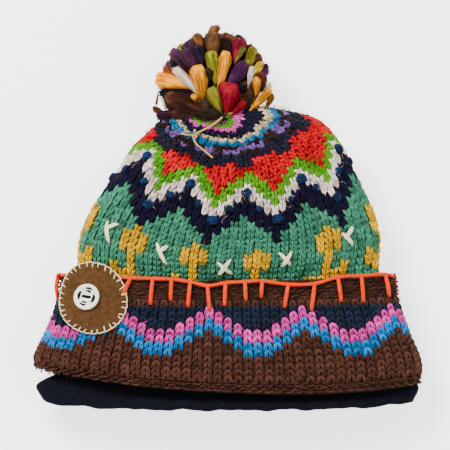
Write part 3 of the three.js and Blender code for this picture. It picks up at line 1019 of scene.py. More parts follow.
    def knit(
        self,
        name: str,
        bed: StitchBed,
        form: StitchForm = StitchForm.KNIT,
        uneven: float = 0.12,
        sway: float = 0.15,
    ) -> bpy.types.Object:
        """Set a stitch on each point of a bed.

        Args:
            name: Name of the piece.
            bed: The places of the stitches.
            form: Knit or purl.
            uneven: How much the stitches differ in size.
            sway: How much they turn from their place, in radians.

        Returns:
            The joined plain mesh.
        """
        mesh = bpy.data.meshes.new(f"{name}_bed")
        mesh.from_pydata(bed.points.tolist(), [], [])
        for key in ("out", "along", "gauge", "cell"):
            values = getattr(bed, key).ravel()
            mesh.attributes.new(key, "FLOAT_VECTOR", "POINT").data.foreach_set("vector", values)
        yarn = bed.yarn.astype(np.int32)
        mesh.attributes.new("yarn", "INT", "POINT").data.foreach_set("value", yarn)
        rng = np.random.default_rng(SEED + len(yarn))
        tint = rng.uniform(-self.TINT_SPREAD, self.TINT_SPREAD, len(yarn))
        mesh.attributes.new("tint", "FLOAT", "POINT").data.foreach_set("value", tint)
        holder = link_object(f"{name}_bed", mesh)
        grow = holder.modifiers.new("Stitches", "NODES")
        grow.node_group = self.tree
        items = self.tree.interface.items_tree
        sockets = {item.name: item.identifier for item in items if item.in_out == "INPUT"}
        grow[sockets["Stitch"]] = self.forms[form]
        grow[sockets["Uneven Size"]] = uneven
        grow[sockets["Sway"]] = sway
        grow[sockets["Seed"]] = SEED + len(name)
        graph = bpy.context.evaluated_depsgraph_get()
        made = bpy.data.meshes.new_from_object(holder.evaluated_get(graph), depsgraph=graph)
        holder.modifiers.remove(grow)
        bpy.data.objects.remove(holder)
        made.name = name
        obj = link_object(name, made)
        self.lay_out(obj, bed)
        return obj

    def lay_out(self, obj: bpy.types.Object, bed: StitchBed) -> None:
        """Give the mesh a map in which each stitch has its own cell, and drop what isn't needed.

        Args:
            obj: The knitted piece.
            bed: Its places, with their cells.
        """
        mesh = obj.data
        cells = np.empty(len(mesh.vertices) * 3)
        mesh.attributes["cell"].data.foreach_get("vector", cells)
        cells = cells.reshape(-1, 3)
        uvs = np.empty(len(mesh.loops) * 2)
        mesh.uv_layers["UVMap"].data.foreach_get("uv", uvs)
        uvs = uvs.reshape(-1, 2)
        corner = np.empty(len(mesh.loops), np.int32)
        mesh.loops.foreach_get("vertex_index", corner)
        own = cells[corner]
        local = np.stack([uvs[:, 0], uvs[:, 1] / max(uvs[:, 1].max(), 1e-6)], axis=1)
        wide = bed.cell[:, 2].min()
        flat = own[:, :2] + (self.CELL_EDGE + (1 - 2 * self.CELL_EDGE) * local) * wide
        mesh.uv_layers.new(name="OFBake").data.foreach_set("uv", flat.ravel())
        mesh.uv_layers["UVMap"].active_render = True
        for key in ("out", "along", "gauge", "cell", "yarn"):
            if key in mesh.attributes:
                mesh.attributes.remove(mesh.attributes[key])


@dataclass
class CrownChart:
    """The colours of the crown, row by row: a zigzag of nine repeats, and bands above it."""

    repeats: int = 9
    valley_share: float = -0.038
    # Rows that the zigzag stands higher, stitch by stitch from a peak down to a valley.
    rise: tuple = (5.0, 4.0, 3.0, 2.0, 1.0)
    # Rows by which the rings near the root lie aside, and the row where each starts.
    lean: float = 2.0
    bands: tuple = (
        (21, Yarn.CHARCOAL),
        (23, Yarn.LILAC),
        (24, Yarn.UMBER),
        (25, Yarn.TEAL),
        (26, Yarn.CREAM),
        (27, Yarn.PLUM),
        (29, Yarn.PINK),
        (30, Yarn.LIME),
        (31, Yarn.TAUPE),
    )
    bands_from: int = 18
    flower_rows: int = 8
    # Stitches in a round, up to a row.
    rounds: tuple = ((15, 72), (17, 63), (19, 54), (21, 45), (24, 36), (30, 27), (32, 18))
    # Columns of a flower from its middle, by row. The leaves are longer on one side.
    flower: tuple = (
        (6, (0,)),
        (5, (-1, 0, 1)),
        (4, (-1, 0, 1)),
        (3, (-1, 0, 1)),
        (2, (0,)),
        (1, (0,)),
        (0, (0, 2)),
        (-1, (0, 1, 2)),
        (-2, (-2, -1, 0, 1)),
    )
    # Share of each flower round the hat, and how many rows it stands higher than the chart.
    flowers: tuple = (
        (-0.1487, 1, -1),
        (-0.0575, 0, -1),
        (0.0463, -1, 1),
        (0.1475, 1, 1),
        (0.252, 2, -1),
        (0.35, 1, 1),
        (0.45, 0, -1),
        (0.55, 0, 1),
        (0.65, 1, -1),
        (0.75, 2, 1),
    )

    def count(self, row: int) -> int:
        """Return the number of stitches in a row."""
        return next(n for last, n in self.rounds if row <= last)

    def lift(self, share: Array) -> Array:
        """Find how far the zigzag stands above its valleys.

        Args:
            share: Shares of the way round, from the front's middle.

        Returns:
            Rows above the lowest point.
        """
        phase = np.mod((share - self.valley_share) * self.repeats, 1.0) * 8
        from_peak = 4 - np.minimum(phase, 8 - phase)
        return np.interp(from_peak, range(5), self.rise)

    def yarns(self, row: int, share: Array) -> Array:
        """Pick the yarns of a row.

        Args:
            row: The row, counted up from the cuff.
            share: Where its stitches lie, as shares of the way round.

        Returns:
            The yarn number of each stitch.
        """
        rise = np.round(self.lift(share))
        height = row - rise
        picked = np.full(len(share), YARNS.index(Yarn.GREEN))
        for first, yarn in ((7, Yarn.NAVY), (10, Yarn.ROSE), (12, Yarn.LIME), (14, Yarn.RED)):
            picked[height >= first] = YARNS.index(yarn)
        picked[(height == 6) & (rise < 2)] = YARNS.index(Yarn.NAVY)
        if row >= self.bands_from:
            self.band(row, share, picked)
        if row < self.flower_rows:
            self.plant(row, picked)
        return picked

    def band(self, row: int, share: Array, picked: Array) -> None:
        """Work the rings near the root, which lie closer to it on the right than on the left.

        Args:
            row: The row.
            share: Where its stitches lie, as shares of the way round.
            picked: The row's yarn numbers, which are changed.
        """
        sine = np.sin(share * math.tau)
        left = self.lean * (1 - 0.7 * np.clip((row - 22) / 3, 0, 1))
        level = np.round(row - sine * np.where(sine > 0, self.lean, left)).astype(int)
        level[(level == 20) & (self.lift(share) > 3.4)] = 21
        number = np.arange(len(share))
        for first, yarn in self.bands:
            picked[level >= first] = YARNS.index(yarn)
        picked[(level == 24) & (number % 4 == 1)] = YARNS.index(Yarn.LILAC)
        picked[(level == 23) & (number % 3 == 1)] = YARNS.index(Yarn.UMBER)
        picked[(level == 22) & (number % 5 == 2)] = YARNS.index(Yarn.UMBER)

    def plant(self, row: int, picked: Array) -> None:
        """Work the flowers into a row, some with their longer leaves on the left.

        Args:
            row: The row.
            picked: The row's yarn numbers, which are changed.
        """
        for share, higher, way in self.flowers:
            middle = round(share * len(picked))
            for column in dict(self.flower).get(row - higher, ()):
                picked[(middle + way * column) % len(picked)] = YARNS.index(Yarn.YELLOW)


@dataclass
class Crown:
    """The knitted crown: its stitches and the wall behind them, in three parts."""

    stitches: StitchMaker
    chart: CrownChart = field(default_factory=CrownChart)
    first_row: int = -3
    narrowing_row: int = 7
    closing_row: int = 18
    last_row: int = 32
    row_centre: float = 0.5
    around: int = 96
    stitch_heights_mm: tuple = (2.6, 7.5)
    flower_raise_mm: float = 0.9

    def bed(self, rows: range) -> StitchBed:
        """Place the stitches of some rows.

        Args:
            rows: The rows, counted up from the cuff.

        Returns:
            The bed.
        """
        low, high = self.stitch_heights_mm
        parts = []
        for row in rows:
            count = self.chart.count(row)
            share = np.arange(count) / count
            at = row + self.row_centre
            turn = CROWN.turns(at, share)
            point, out, along = CROWN.frame(np.full(count, at), turn)
            wide = CROWN.arc(at)[-1] / count
            step = CROWN.points(at + 0.5, turn) - CROWN.points(at - 0.5, turn)
            tall = np.clip(np.linalg.norm(step, axis=1), low * MM, high * MM)
            thick = np.full(count, min(wide, THICKEST_MM * MM))
            gauge = np.stack([np.full(count, wide), tall, thick], axis=1)
            yarn = self.chart.yarns(row, share)
            raised = np.where(yarn == YARNS.index(Yarn.YELLOW), self.flower_raise_mm * MM, 0.0)
            point = point + out * (raised - STITCH_DEPTH_MM * MM)[:, None]
            parts.append((point, out, along, gauge, yarn))
        return StitchBed.of_rows(parts)

    def wall(self, name: str, first: float, last: float) -> bpy.types.Object:
        """Model the knit behind the stitches as a closed wall in the colours of the chart.

        Args:
            name: Name of the piece.
            first: The row where it starts.
            last: The row where it ends.

        Returns:
            The wall.
        """
        short = 0.2 if last > self.last_row else 0.0
        rows = np.append(np.arange(first, last, 1.0), last - short)
        share = np.arange(self.around) / self.around
        outer = [wall_ring(CROWN, at, share, WALL_DEPTH_MM * MM) for at in rows]
        inner = [wall_ring(CROWN, at, share, KNIT_THICKNESS) for at in rows]
        yarn = []
        for at in (*rows, *rows[::-1]):
            row = int(np.clip(round(at - 0.4), self.first_row, self.last_row))
            yarn.extend(self.chart.yarns(row, share))
        return knit_wall(name, outer + inner[::-1], yarn)

    def build(self) -> None:
        """Build the three parts of the crown and dress them."""
        parts = (
            ("crown_side", self.first_row, self.narrowing_row, int(CROWN_ROWS[0, 0])),
            ("crown_taper", self.narrowing_row, self.closing_row, self.narrowing_row),
            ("crown_top", self.closing_row, self.last_row + 1, self.closing_row),
        )
        for node, first, end, wall_from in parts:
            knit = self.stitches.knit(f"{node}_stitches", self.bed(range(first, end)))
            dress(knit, "crown_wool", node)
            dress(self.wall(f"{node}_wall", wall_from, end), "crown_wool", node)


@dataclass
class CuffChart:
    """The colours of the cuff, counted down from its upper edge: a zigzag of eight repeats."""

    repeats: int = 8
    stitches: int = 80
    rows: int = 18
    peak_share: float = -0.027
    # Rows that the zigzag drops, stitch by stitch from a peak down to a valley.
    drop: tuple = (0.0, 0.9, 1.9, 2.9, 3.8, 4.6)

    def yarns(self, row: int, share: Array) -> Array:
        """Pick the yarns of a row.

        Args:
            row: The row, counted down from the upper edge.
            share: Where its stitches lie, as shares of the way round.

        Returns:
            The yarn number of each stitch.
        """
        phase = np.mod((share - self.peak_share) * self.repeats, 1.0) * 10
        from_peak = np.minimum(phase, 10 - phase)
        depth = row - np.round(np.interp(from_peak, range(6), self.drop))
        picked = np.full(len(share), YARNS.index(Yarn.SLATE))
        for first, yarn in ((4, Yarn.FUCHSIA), (6, Yarn.BLUE), (8, Yarn.BROWN)):
            picked[depth >= first] = YARNS.index(yarn)
        if row < 4 or row >= self.rows - 2:
            picked[:] = YARNS.index(Yarn.BROWN)
        return picked


@dataclass
class Cuff:
    """The turned-up cuff: knit stitches upside down, purl ridges at its edges, and its wall."""

    stitches: StitchMaker
    chart: CuffChart = field(default_factory=CuffChart)
    top_purl_rows: int = 3
    bottom_purl_rows: int = 2
    around: int = 96
    # Rows of the wall, with the depths of its outside and its inside under the surface, in mm. The
    # knit is double at the fold, and thin where it ends under the edging.
    fold: tuple = ((0.0, 2.5, 8.1), (0.026, 2.3, 10.6), (0.065, 2.3, 10.6), (0.075, 2.3, 5.0))
    rim: tuple = (1.0, 2.2, 4.4)
    purl_from: float = 0.8
    purl_depth_mm: float = 1.5
    slate_band: tuple = (0.6, 0.79)

    def bed(self, rows: list[int]) -> StitchBed:
        """Place the stitches of some rows.

        Args:
            rows: The rows, counted down from the upper edge.

        Returns:
            The bed.
        """
        parts = []
        count = self.chart.stitches
        share = np.arange(count) / count
        tall = CUFF_SIZE[1] * MM / self.chart.rows
        for row in rows:
            at = 1 - (row + 0.5) / self.chart.rows
            point, out, along = CUFF.frame(np.full(count, at), CUFF.turns(at, share))
            wide = CUFF.arc(at)[-1] / count
            gauge = np.tile([wide, tall, min(wide, THICKEST_MM * MM)], (count, 1))
            point = point - out * STITCH_DEPTH_MM * MM
            parts.append((point, out, -along, gauge, self.chart.yarns(row, share)))
        return StitchBed.of_rows(parts)

    def wall(self) -> bpy.types.Object:
        """Model the wall behind the stitches, with the fold round the crown's lower edge.

        Returns:
            The wall.
        """
        share = np.arange(self.around) / self.around
        shape = list(self.fold)
        for at in np.arange(0.1, 0.99, 0.055):
            near = WALL_DEPTH_MM if at < self.purl_from else self.purl_depth_mm
            shape.append((at, near, KNIT_THICKNESS / MM))
        shape.append(self.rim)
        outer = [wall_ring(CUFF, at, share, depth * MM) for at, depth, _ in shape]
        inner = [wall_ring(CUFF, at, share, depth * MM) for at, _, depth in shape]
        yarn = []
        for at, _, _ in (*shape, *shape[::-1]):
            band = Yarn.SLATE if self.slate_band[0] < at < self.slate_band[1] else Yarn.BROWN
            yarn.extend([YARNS.index(band)] * self.around)
        return knit_wall("cuff_wall", outer + inner[::-1], yarn)

    def build(self) -> None:
        """Build the cuff and dress it. The ridges are less even than the rest."""
        rows = list(range(self.chart.rows))
        top, low = self.top_purl_rows, self.chart.rows - self.bottom_purl_rows
        for name, some, form, uneven, sway in (
            ("cuff_stitches", rows[top:low], StitchForm.KNIT, 0.12, 0.15),
            ("cuff_ridges", rows[:top], StitchForm.PURL, 0.25, 0.3),
            ("hem_ridges", rows[low:], StitchForm.PURL, 0.15, 0.1),
        ):
            piece = self.stitches.knit(name, self.bed(some), form, uneven, sway)
            dress(piece, "cuff_wool", "cuff")
        dress(self.wall(), "cuff_wool", "cuff")


@dataclass
class Lining:
    """The fleece band inside the rim."""

    around: int = 192
    skin: float = 0.2 * MM
    # Waves round the band, each with how often, how deep and where it starts.
    creases: tuple = ((23, 0.5, 0.0), (41, 0.35, 1.3))
    crease_depth: float = 0.9 * MM
    edge_sway: float = 0.8 * MM
    bulge: float = 4.0 * MM
    # Brushed polyester fleece: nearly black, and it shows only soft folds and a faint bloom.
    finish: PressedFibre = PressedFibre(
        "polyester_fleece", "#05060B", "#10121B", 0.9, 5.0, 0.7, sheen=0.02
    )

    def build(self) -> None:
        """Build the band as a closed wall with a soft, slightly wavy edge."""
        share = np.arange(self.around) / self.around
        levels = np.concatenate([np.linspace(0, 0.3, 13), np.linspace(0.36, 1, 12)])
        outer = [self.ring(at, share, self.skin) for at in levels]
        inner = [self.ring(at, share, LINING_THICKNESS) for at in levels]
        loop = np.concatenate(outer + inner[::-1])
        faces = band_faces(2 * len(levels), self.around)
        band = mesh_object("lining_fleece", loop, faces, [DYES.get(self.finish)])
        dress(band, "fleece", "lining")

    def ring(self, at: float, share: Array, depth: float) -> Array:
        """Place one ring of the band, waved by soft creases that fade into the hat.

        Args:
            at: The row.
            share: Shares of the row's length, from its front middle.
            depth: How far the ring lies under the surface, in metres.

        Returns:
            The ring's points.
        """
        turn = LINING.turns(at, share)
        point, out, along = LINING.frame(np.full(len(share), at), turn)
        near = max(0.0, 1 - at / 0.25)
        round_it = share * math.tau
        crease = sum(np.sin(round_it * often + start) * deep for often, deep, start in self.creases)
        ring = point - out * (depth + (self.crease_depth * near * (1 + crease))[:, None])
        ring += along * (self.edge_sway * near * np.sin(round_it * 15 + 0.7))[:, None]
        # The left end bulges out below the hem.
        left = np.clip((-ring[:, 0] / MM - 95) / 45, 0, 1) ** 2
        ring[:, 0] -= left * self.bulge * math.exp(-(((at - 0.3) / 0.17) ** 2))
        ring[:, 2] = np.maximum(ring[:, 2], 0.25 * MM + depth * 0.5)
        return ring


@dataclass
class Fuzz:
    """Stray fibres that stand off the knit, in the colours of its yarns."""

    hairs: int = 2300
    cuff_hairs: int = 1200
    lengths_mm: tuple = (2.5, 6.5)
    stands_mm: tuple = (0.6, 3.4)
    bend_mm: float = 1.2
    radii_mm: tuple = (0.12, 0.11, 0.08, 0.03)

    def grow(
        self, name: str, surface: SoftSurface, places: list[tuple], rng: np.random.Generator
    ) -> bpy.types.Object:
        """Grow one curved fibre at each place.

        Args:
            name: Name of the piece.
            surface: The knit's surface.
            places: Row, share of the way round and yarn number of each fibre.
            rng: The random draws.

        Returns:
            The fibres as one mesh.
        """
        strands = Strands(name, 3)
        radii = np.array(self.radii_mm) * MM
        t = np.linspace(0, 1, len(radii))[:, None]
        for at, share, yarn in places:
            (point,), (out,), (along,) = surface.at_shares([at], [share])
            angle = rng.uniform(0, math.tau)
            across = np.cross(along, out)
            way = math.cos(angle) * along + math.sin(angle) * across
            bend = np.cross(way, out) * rng.uniform(-self.bend_mm, self.bend_mm)
            length, stand = rng.uniform(*self.lengths_mm), rng.uniform(*self.stands_mm)
            arch = out * (stand * np.sin(t * 2.2) - 0.3)
            line = point + (way * length * t + arch + bend * t**2) * MM
            line[:, 2] = np.maximum(line[:, 2], OVER_TABLE)
            strands.add(line[None], radii, yarn, rng.uniform(-0.1, 0.3))
        return strands.build([DYES.yarn(kind) for kind in YARNS])

    def build(self) -> None:
        """Grow the fibres of the crown and the cuff and dress them."""
        rng = np.random.default_rng(SEED + 5)
        crown, cuff = CrownChart(), CuffChart()
        places = []
        for _ in range(self.hairs):
            row, share = int(31 * rng.uniform() ** 0.8) - 1, rng.uniform()
            count = crown.count(row)
            yarn = crown.yarns(row, np.arange(count) / count)[int(share * count)]
            places.append((row + rng.uniform(), share, yarn))
        dress(self.grow("crown_fuzz", CROWN, places, rng), "crown_wool")
        places = []
        for _ in range(self.cuff_hairs):
            row, share = int(rng.integers(cuff.rows)), rng.uniform()
            yarn = cuff.yarns(row, np.array([share]))[0]
            places.append((1 - (row + rng.uniform()) / cuff.rows, share, yarn))
        dress(self.grow("cuff_fuzz", CUFF, places, rng), "cuff_wool")


@dataclass
class Embroidery:
    """Stitches on top of the knit: crosses and knots on the crown, and the cuff's edging."""

    # Ends of the two strokes of each cross, as share round the hat and row.
    crosses: tuple = (
        (((-0.205, 7.2), (-0.1887, 4.5)), ((-0.2, 6.2), (-0.184, 7.4))),
        (((-0.1162, 6.4), (-0.095, 2.6)), ((-0.107, 4.9), (-0.097, 6.1))),
        (((-0.0187, 3.6), (0.0063, 1.3)), ((0.0013, 4.2), (-0.0162, 1.0))),
        (((0.0738, 5.2), (0.095, 2.5)), ((0.0938, 5.2), (0.08, 2.4))),
        (((0.175, 6.4), (0.1913, 4.2)), ((0.195, 6.7), (0.1788, 5.4))),
        (((0.29, 5.9), (0.31, 3.6)), ((0.308, 6.0), (0.292, 3.5))),
        (((0.39, 5.0), (0.412, 2.8)), ((0.41, 5.1), (0.39, 2.6))),
        (((0.49, 4.9), (0.51, 2.7)), ((0.508, 5.0), (0.491, 2.7))),
        (((0.59, 5.0), (0.61, 2.6)), ((0.609, 5.1), (0.592, 2.8))),
        (((0.69, 5.7), (0.71, 3.4)), ((0.709, 5.8), (0.692, 3.5))),
    )

    # Rows of the knots in the valleys, half way up and on the peaks of the crown's zigzag.
    knot_rows: tuple = (11.2, 13.2, 15.6)
    knot_radii_mm: tuple = (4.0, 2.9)
    knot_turns: int = 5
    # Bars of the edging: share round the hat, upper end and length as shares of the cuff, slant.
    bars: tuple = (
        (-0.136, 1.0, 0.2, -0.012),
        (-0.105, 1.0, 0.22, -0.001),
        (-0.0787, 1.0, 0.18, 0.0),
        (-0.0525, 0.98, 0.22, -0.002),
        (-0.0285, 0.95, 0.22, 0.004),
        (-0.0035, 0.975, 0.2, -0.001),
        (0.0235, 0.985, 0.16, 0.001),
        (0.0475, 0.99, 0.14, -0.002),
        (0.0835, 0.955, 0.2, -0.007),
        (0.1205, 0.955, 0.23, -0.008),
        (0.1537, 1.0, 0.2, 0.002),
        (0.1875, 1.0, 0.21, -0.001),
        (0.223, 1.0, 0.17, 0.004),
        (0.262, 0.97, 0.2, 0.004),
        (0.3, 0.99, 0.18, -0.003),
        (0.335, 1.0, 0.2, 0.002),
        (0.37, 0.98, 0.19, -0.004),
        (0.405, 1.0, 0.21, 0.0),
        (0.44, 0.99, 0.18, 0.004),
        (0.475, 0.97, 0.2, -0.002),
        (0.51, 1.0, 0.19, 0.003),
        (0.545, 0.99, 0.22, -0.004),
        (0.58, 0.98, 0.18, 0.0),
        (0.615, 1.0, 0.2, 0.003),
        (0.65, 1.0, 0.19, -0.003),
        (0.685, 1.01, 0.2, 0.0),
        (-0.28, 1.0, 0.19, 0.003),
        (-0.25, 0.99, 0.18, -0.003),
        (-0.22, 1.0, 0.2, 0.002),
        (-0.19, 1.0, 0.2, 0.0),
        (-0.163, 1.0, 0.2, 0.002),
    )
    # Bars between these shares lie under the patch, so they are pressed in.
    under_patch: tuple = (-0.235, -0.145)
    pressed_mm: float = 2.6
    bar_radius_mm: float = 1.7
    line_radius_mm: float = 1.4
    strand_apart_mm: float = 0.8
    strand_radius_mm: float = 0.82
    # Pale wool in two loose strands, even in colour.
    cross_yarn: SpunWool = SpunWool(
        "wool_cross_thread", Yarn.WHITE.value, depth=0.86, unevenness=0.25
    )
    # Dyed wool, wound tight. The turns show as fine dark lines over a core that is painted darker,
    # as the shade between them.
    knot_yarn: SpunWool = SpunWool("wool_knot", Yarn.KNOT.value)
    # Bright, smooth-spun wool, more even than the knit's.
    edge_yarn: SpunWool = SpunWool("wool_edging", Yarn.ORANGE.value, depth=0.76, unevenness=0.2)

    def cross_strands(self) -> None:
        """Work the crosses in double yarn, each a little differently."""
        strands = Strands("crown_crosses", 6)
        rng = np.random.default_rng(SEED)
        t = np.linspace(0, 1, 7)
        for cross in self.crosses:
            for arm, ((share_a, row_a), (share_b, row_b)) in enumerate(cross):
                share, row = share_a + (share_b - share_a) * t, row_a + (row_b - row_a) * t
                point, out, _ = CROWN.at_shares(row, share)
                across = np.cross(unit(point[-1] - point[0]), out)
                for side in (-self.strand_apart_mm, self.strand_apart_mm):
                    spread = side * (0.45 + 0.55 * np.sin(math.pi * t)) + rng.uniform(-0.12, 0.12)
                    lift = -0.9 + 2.1 * np.sin(math.pi * t) ** 0.5 + 0.7 * arm
                    line = point + (across * spread[:, None] + out * lift[:, None]) * MM
                    radii = taper(len(t), 0.4) * self.strand_radius_mm * MM
                    strands.add(line[None], radii, 0, rng.uniform(0, 0.1))
        dress(strands.build([DYES.get(self.cross_yarn)]), "crown_wool")

    def knots(self) -> None:
        """Wind the French knots: a ball of crossing turns, larger at peaks and valleys."""
        chart = CrownChart()
        strands = Strands("crown_knots", 5)
        rng = np.random.default_rng(SEED + 1)
        t = np.linspace(0, 1, 16)
        angle = math.pi * (t - 0.5)
        for k in range(4 * chart.repeats):
            share = chart.valley_share - 0.002 + k / (4 * chart.repeats)
            share += rng.uniform(-0.003, 0.003)
            row = self.knot_rows[(0, 1, 2, 1)[k % 4]] + rng.uniform(-0.25, 0.25)
            (point,), (out,), (along,) = CROWN.at_shares([row], [share])
            across = np.cross(along, out)
            size = rng.uniform(0.9, 1.1) * self.knot_radii_mm[k % 2]
            point = point - out * 0.3 * size * MM
            # The core fills the ball under the turns and is painted darker, as painted shade
            # between them.
            core = point + np.outer(np.linspace(-0.75, 0.75, 9) * size, out) * MM
            ball = np.sqrt(np.clip(1 - np.linspace(-0.98, 0.98, 9) ** 2, 0, 1)) * size * 0.95 * MM
            strands.add(core[None], ball, 0, -0.45)
            lean = rng.uniform(0, math.pi)
            for turn in range(self.knot_turns):
                tilt = lean + rng.uniform(-0.16, 0.16)
                aside = (turn - 2) / 2 * 0.68 * size + rng.uniform(-0.1, 0.1)
                reach = math.sqrt(max(size**2 - aside**2, 0.2))
                u = math.cos(tilt) * across + math.sin(tilt) * along
                v = -math.sin(tilt) * across + math.cos(tilt) * along
                line = (
                    point
                    + np.outer(np.sin(angle) * reach * 0.92, u) * MM
                    + np.outer(np.full(len(t), aside), v) * MM
                    + np.outer(np.cos(angle) * reach * 0.62 + 0.15 * size, out) * MM
                )
                strands.add(line[None], 0.17 * size * MM, 0, rng.uniform(-0.3, 0.3))
        dress(strands.build([DYES.get(self.knot_yarn)]), "crown_wool")

    def blanket_edge(self) -> None:
        """Edge the cuff with orange blanket stitch: a slack line and slanted bars."""
        rng = np.random.default_rng(SEED + 2)
        strands = Strands("cuff_edging", 8)
        knots = []
        for share, edge, length, slant in self.bars:
            covered = self.under_patch[0] < share < self.under_patch[1]
            hidden = self.pressed_mm if covered else 0.0
            (top,), (top_out,), _ = CUFF.at_shares([edge], [share])
            (foot,), (foot_out,), _ = CUFF.at_shares([edge - length], [share + slant])
            high, low = top + top_out * (1.5 - hidden) * MM, foot - foot_out * (0.8 + hidden) * MM
            knots.append(high)
            half = (high + low) / 2 + foot_out * (1.1 - hidden) * MM
            line = smooth_path([high, half, low], 9)
            radii = taper(9, 0.75, 0.4) * self.bar_radius_mm * MM
            strands.add(line[None], radii, 0, rng.uniform(-0.06, 0.1))
        steps = 520
        ring = smooth_path(np.array(knots + knots[:2]), steps)
        radii = self.line_radius_mm * MM * (1 + 0.1 * np.sin(np.arange(steps) * 0.4))
        strands.add(ring[None], radii, 0, 0.02)
        dress(strands.build([DYES.get(self.edge_yarn)]), "cuff_wool")

    def build(self) -> None:
        """Build all the embroidery."""
        self.cross_strands()
        self.knots()
        self.blanket_edge()


# Locks of the pompom that show from the front, in mm: base across, base along, tip across, tip
# along, width, sRGB colour. The upper ones come last.
FRONT_LOCKS = (
    (-15, 130, -9, 150, 8, "#7A4A22"),
    (-19, 125, -24, 140, 8, "#5F3A1F"),
    (-12, 118, -10, 140, 14, "#533620"),
    (2, 116, -2, 136, 8, "#251113"),
    (5, 114, 10, 135, 12, "#822734"),
    (12, 107, 20, 129, 10, "#7D7529"),
    (17, 105, 25, 117, 7, "#D0A830"),
    (18, 97, 26, 109, 9, "#612E22"),
    (24, 93, 32, 103, 5, "#E1D0B1"),
    (26, 83, 34, 94, 6, "#7A4820"),
    (-19, 111, -23, 129, 9, "#1F1426"),
    (-21, 107, -34, 125, 12, "#381A2E"),
    (-37, 108, -42, 118, 4, "#100F11"),
    (-41, 106, -48, 114, 6, "#88462D"),
    (-15, 100, -14, 111, 7, "#2E231B"),
    (-29, 98, -53, 107, 13, "#F59A1E"),
    (-21, 91, -40, 112, 8, "#E4D0B1"),
    (-18, 89, -24, 113, 14, "#F29A22"),
    (-9, 99, -13, 124, 10, "#7F7C2B"),
    (-7, 94, -1, 124, 9, "#F29C26"),
    (5, 115, 12, 128, 4, "#706E31"),
    (-2, 96, 14, 115, 13, "#462141"),
    (15, 97, 18, 113, 5, "#E6DDCD"),
    (21, 92, 22, 106, 8, "#EA9220"),
    (24, 95, 27, 101, 4, "#34191C"),
    (15, 82, 32, 98, 9, "#EC9C28"),
    (9, 92, 12, 99, 6, "#111114"),
    (13, 84, 17, 95, 8, "#36281A"),
    (-42, 93, -50, 95, 9, "#121214"),
    (-52, 98, -47, 83, 2, "#E4DBCF"),
    (-52, 99, -54, 88, 2, "#6C4425"),
    (-47, 83, -56, 85, 6, "#5F3B21"),
    (-33, 81, -53, 79, 9, "#371A2A"),
    (-41, 74, -52, 70, 3, "#341E1B"),
    # These five dark browns by the root are the pompom's brown wool painted darker, as painted
    # shade on its underside.
    (-14, 76, -19, 88, 10, "#2E1E18"),
    (-12, 73, -41, 78, 12, "#371E16"),
    (-11, 75, -45, 91, 24, "#45271C"),
    (-3, 74, -30, 76, 11, "#2E1E19"),
    (0, 74, -14, 78, 9, "#261A15"),
    (-5, 77, -13, 96, 10, "#6A6524"),
    (2, 78, 13, 86, 7, "#8C242D"),
    (-1, 79, 2, 100, 19, "#85222D"),
)


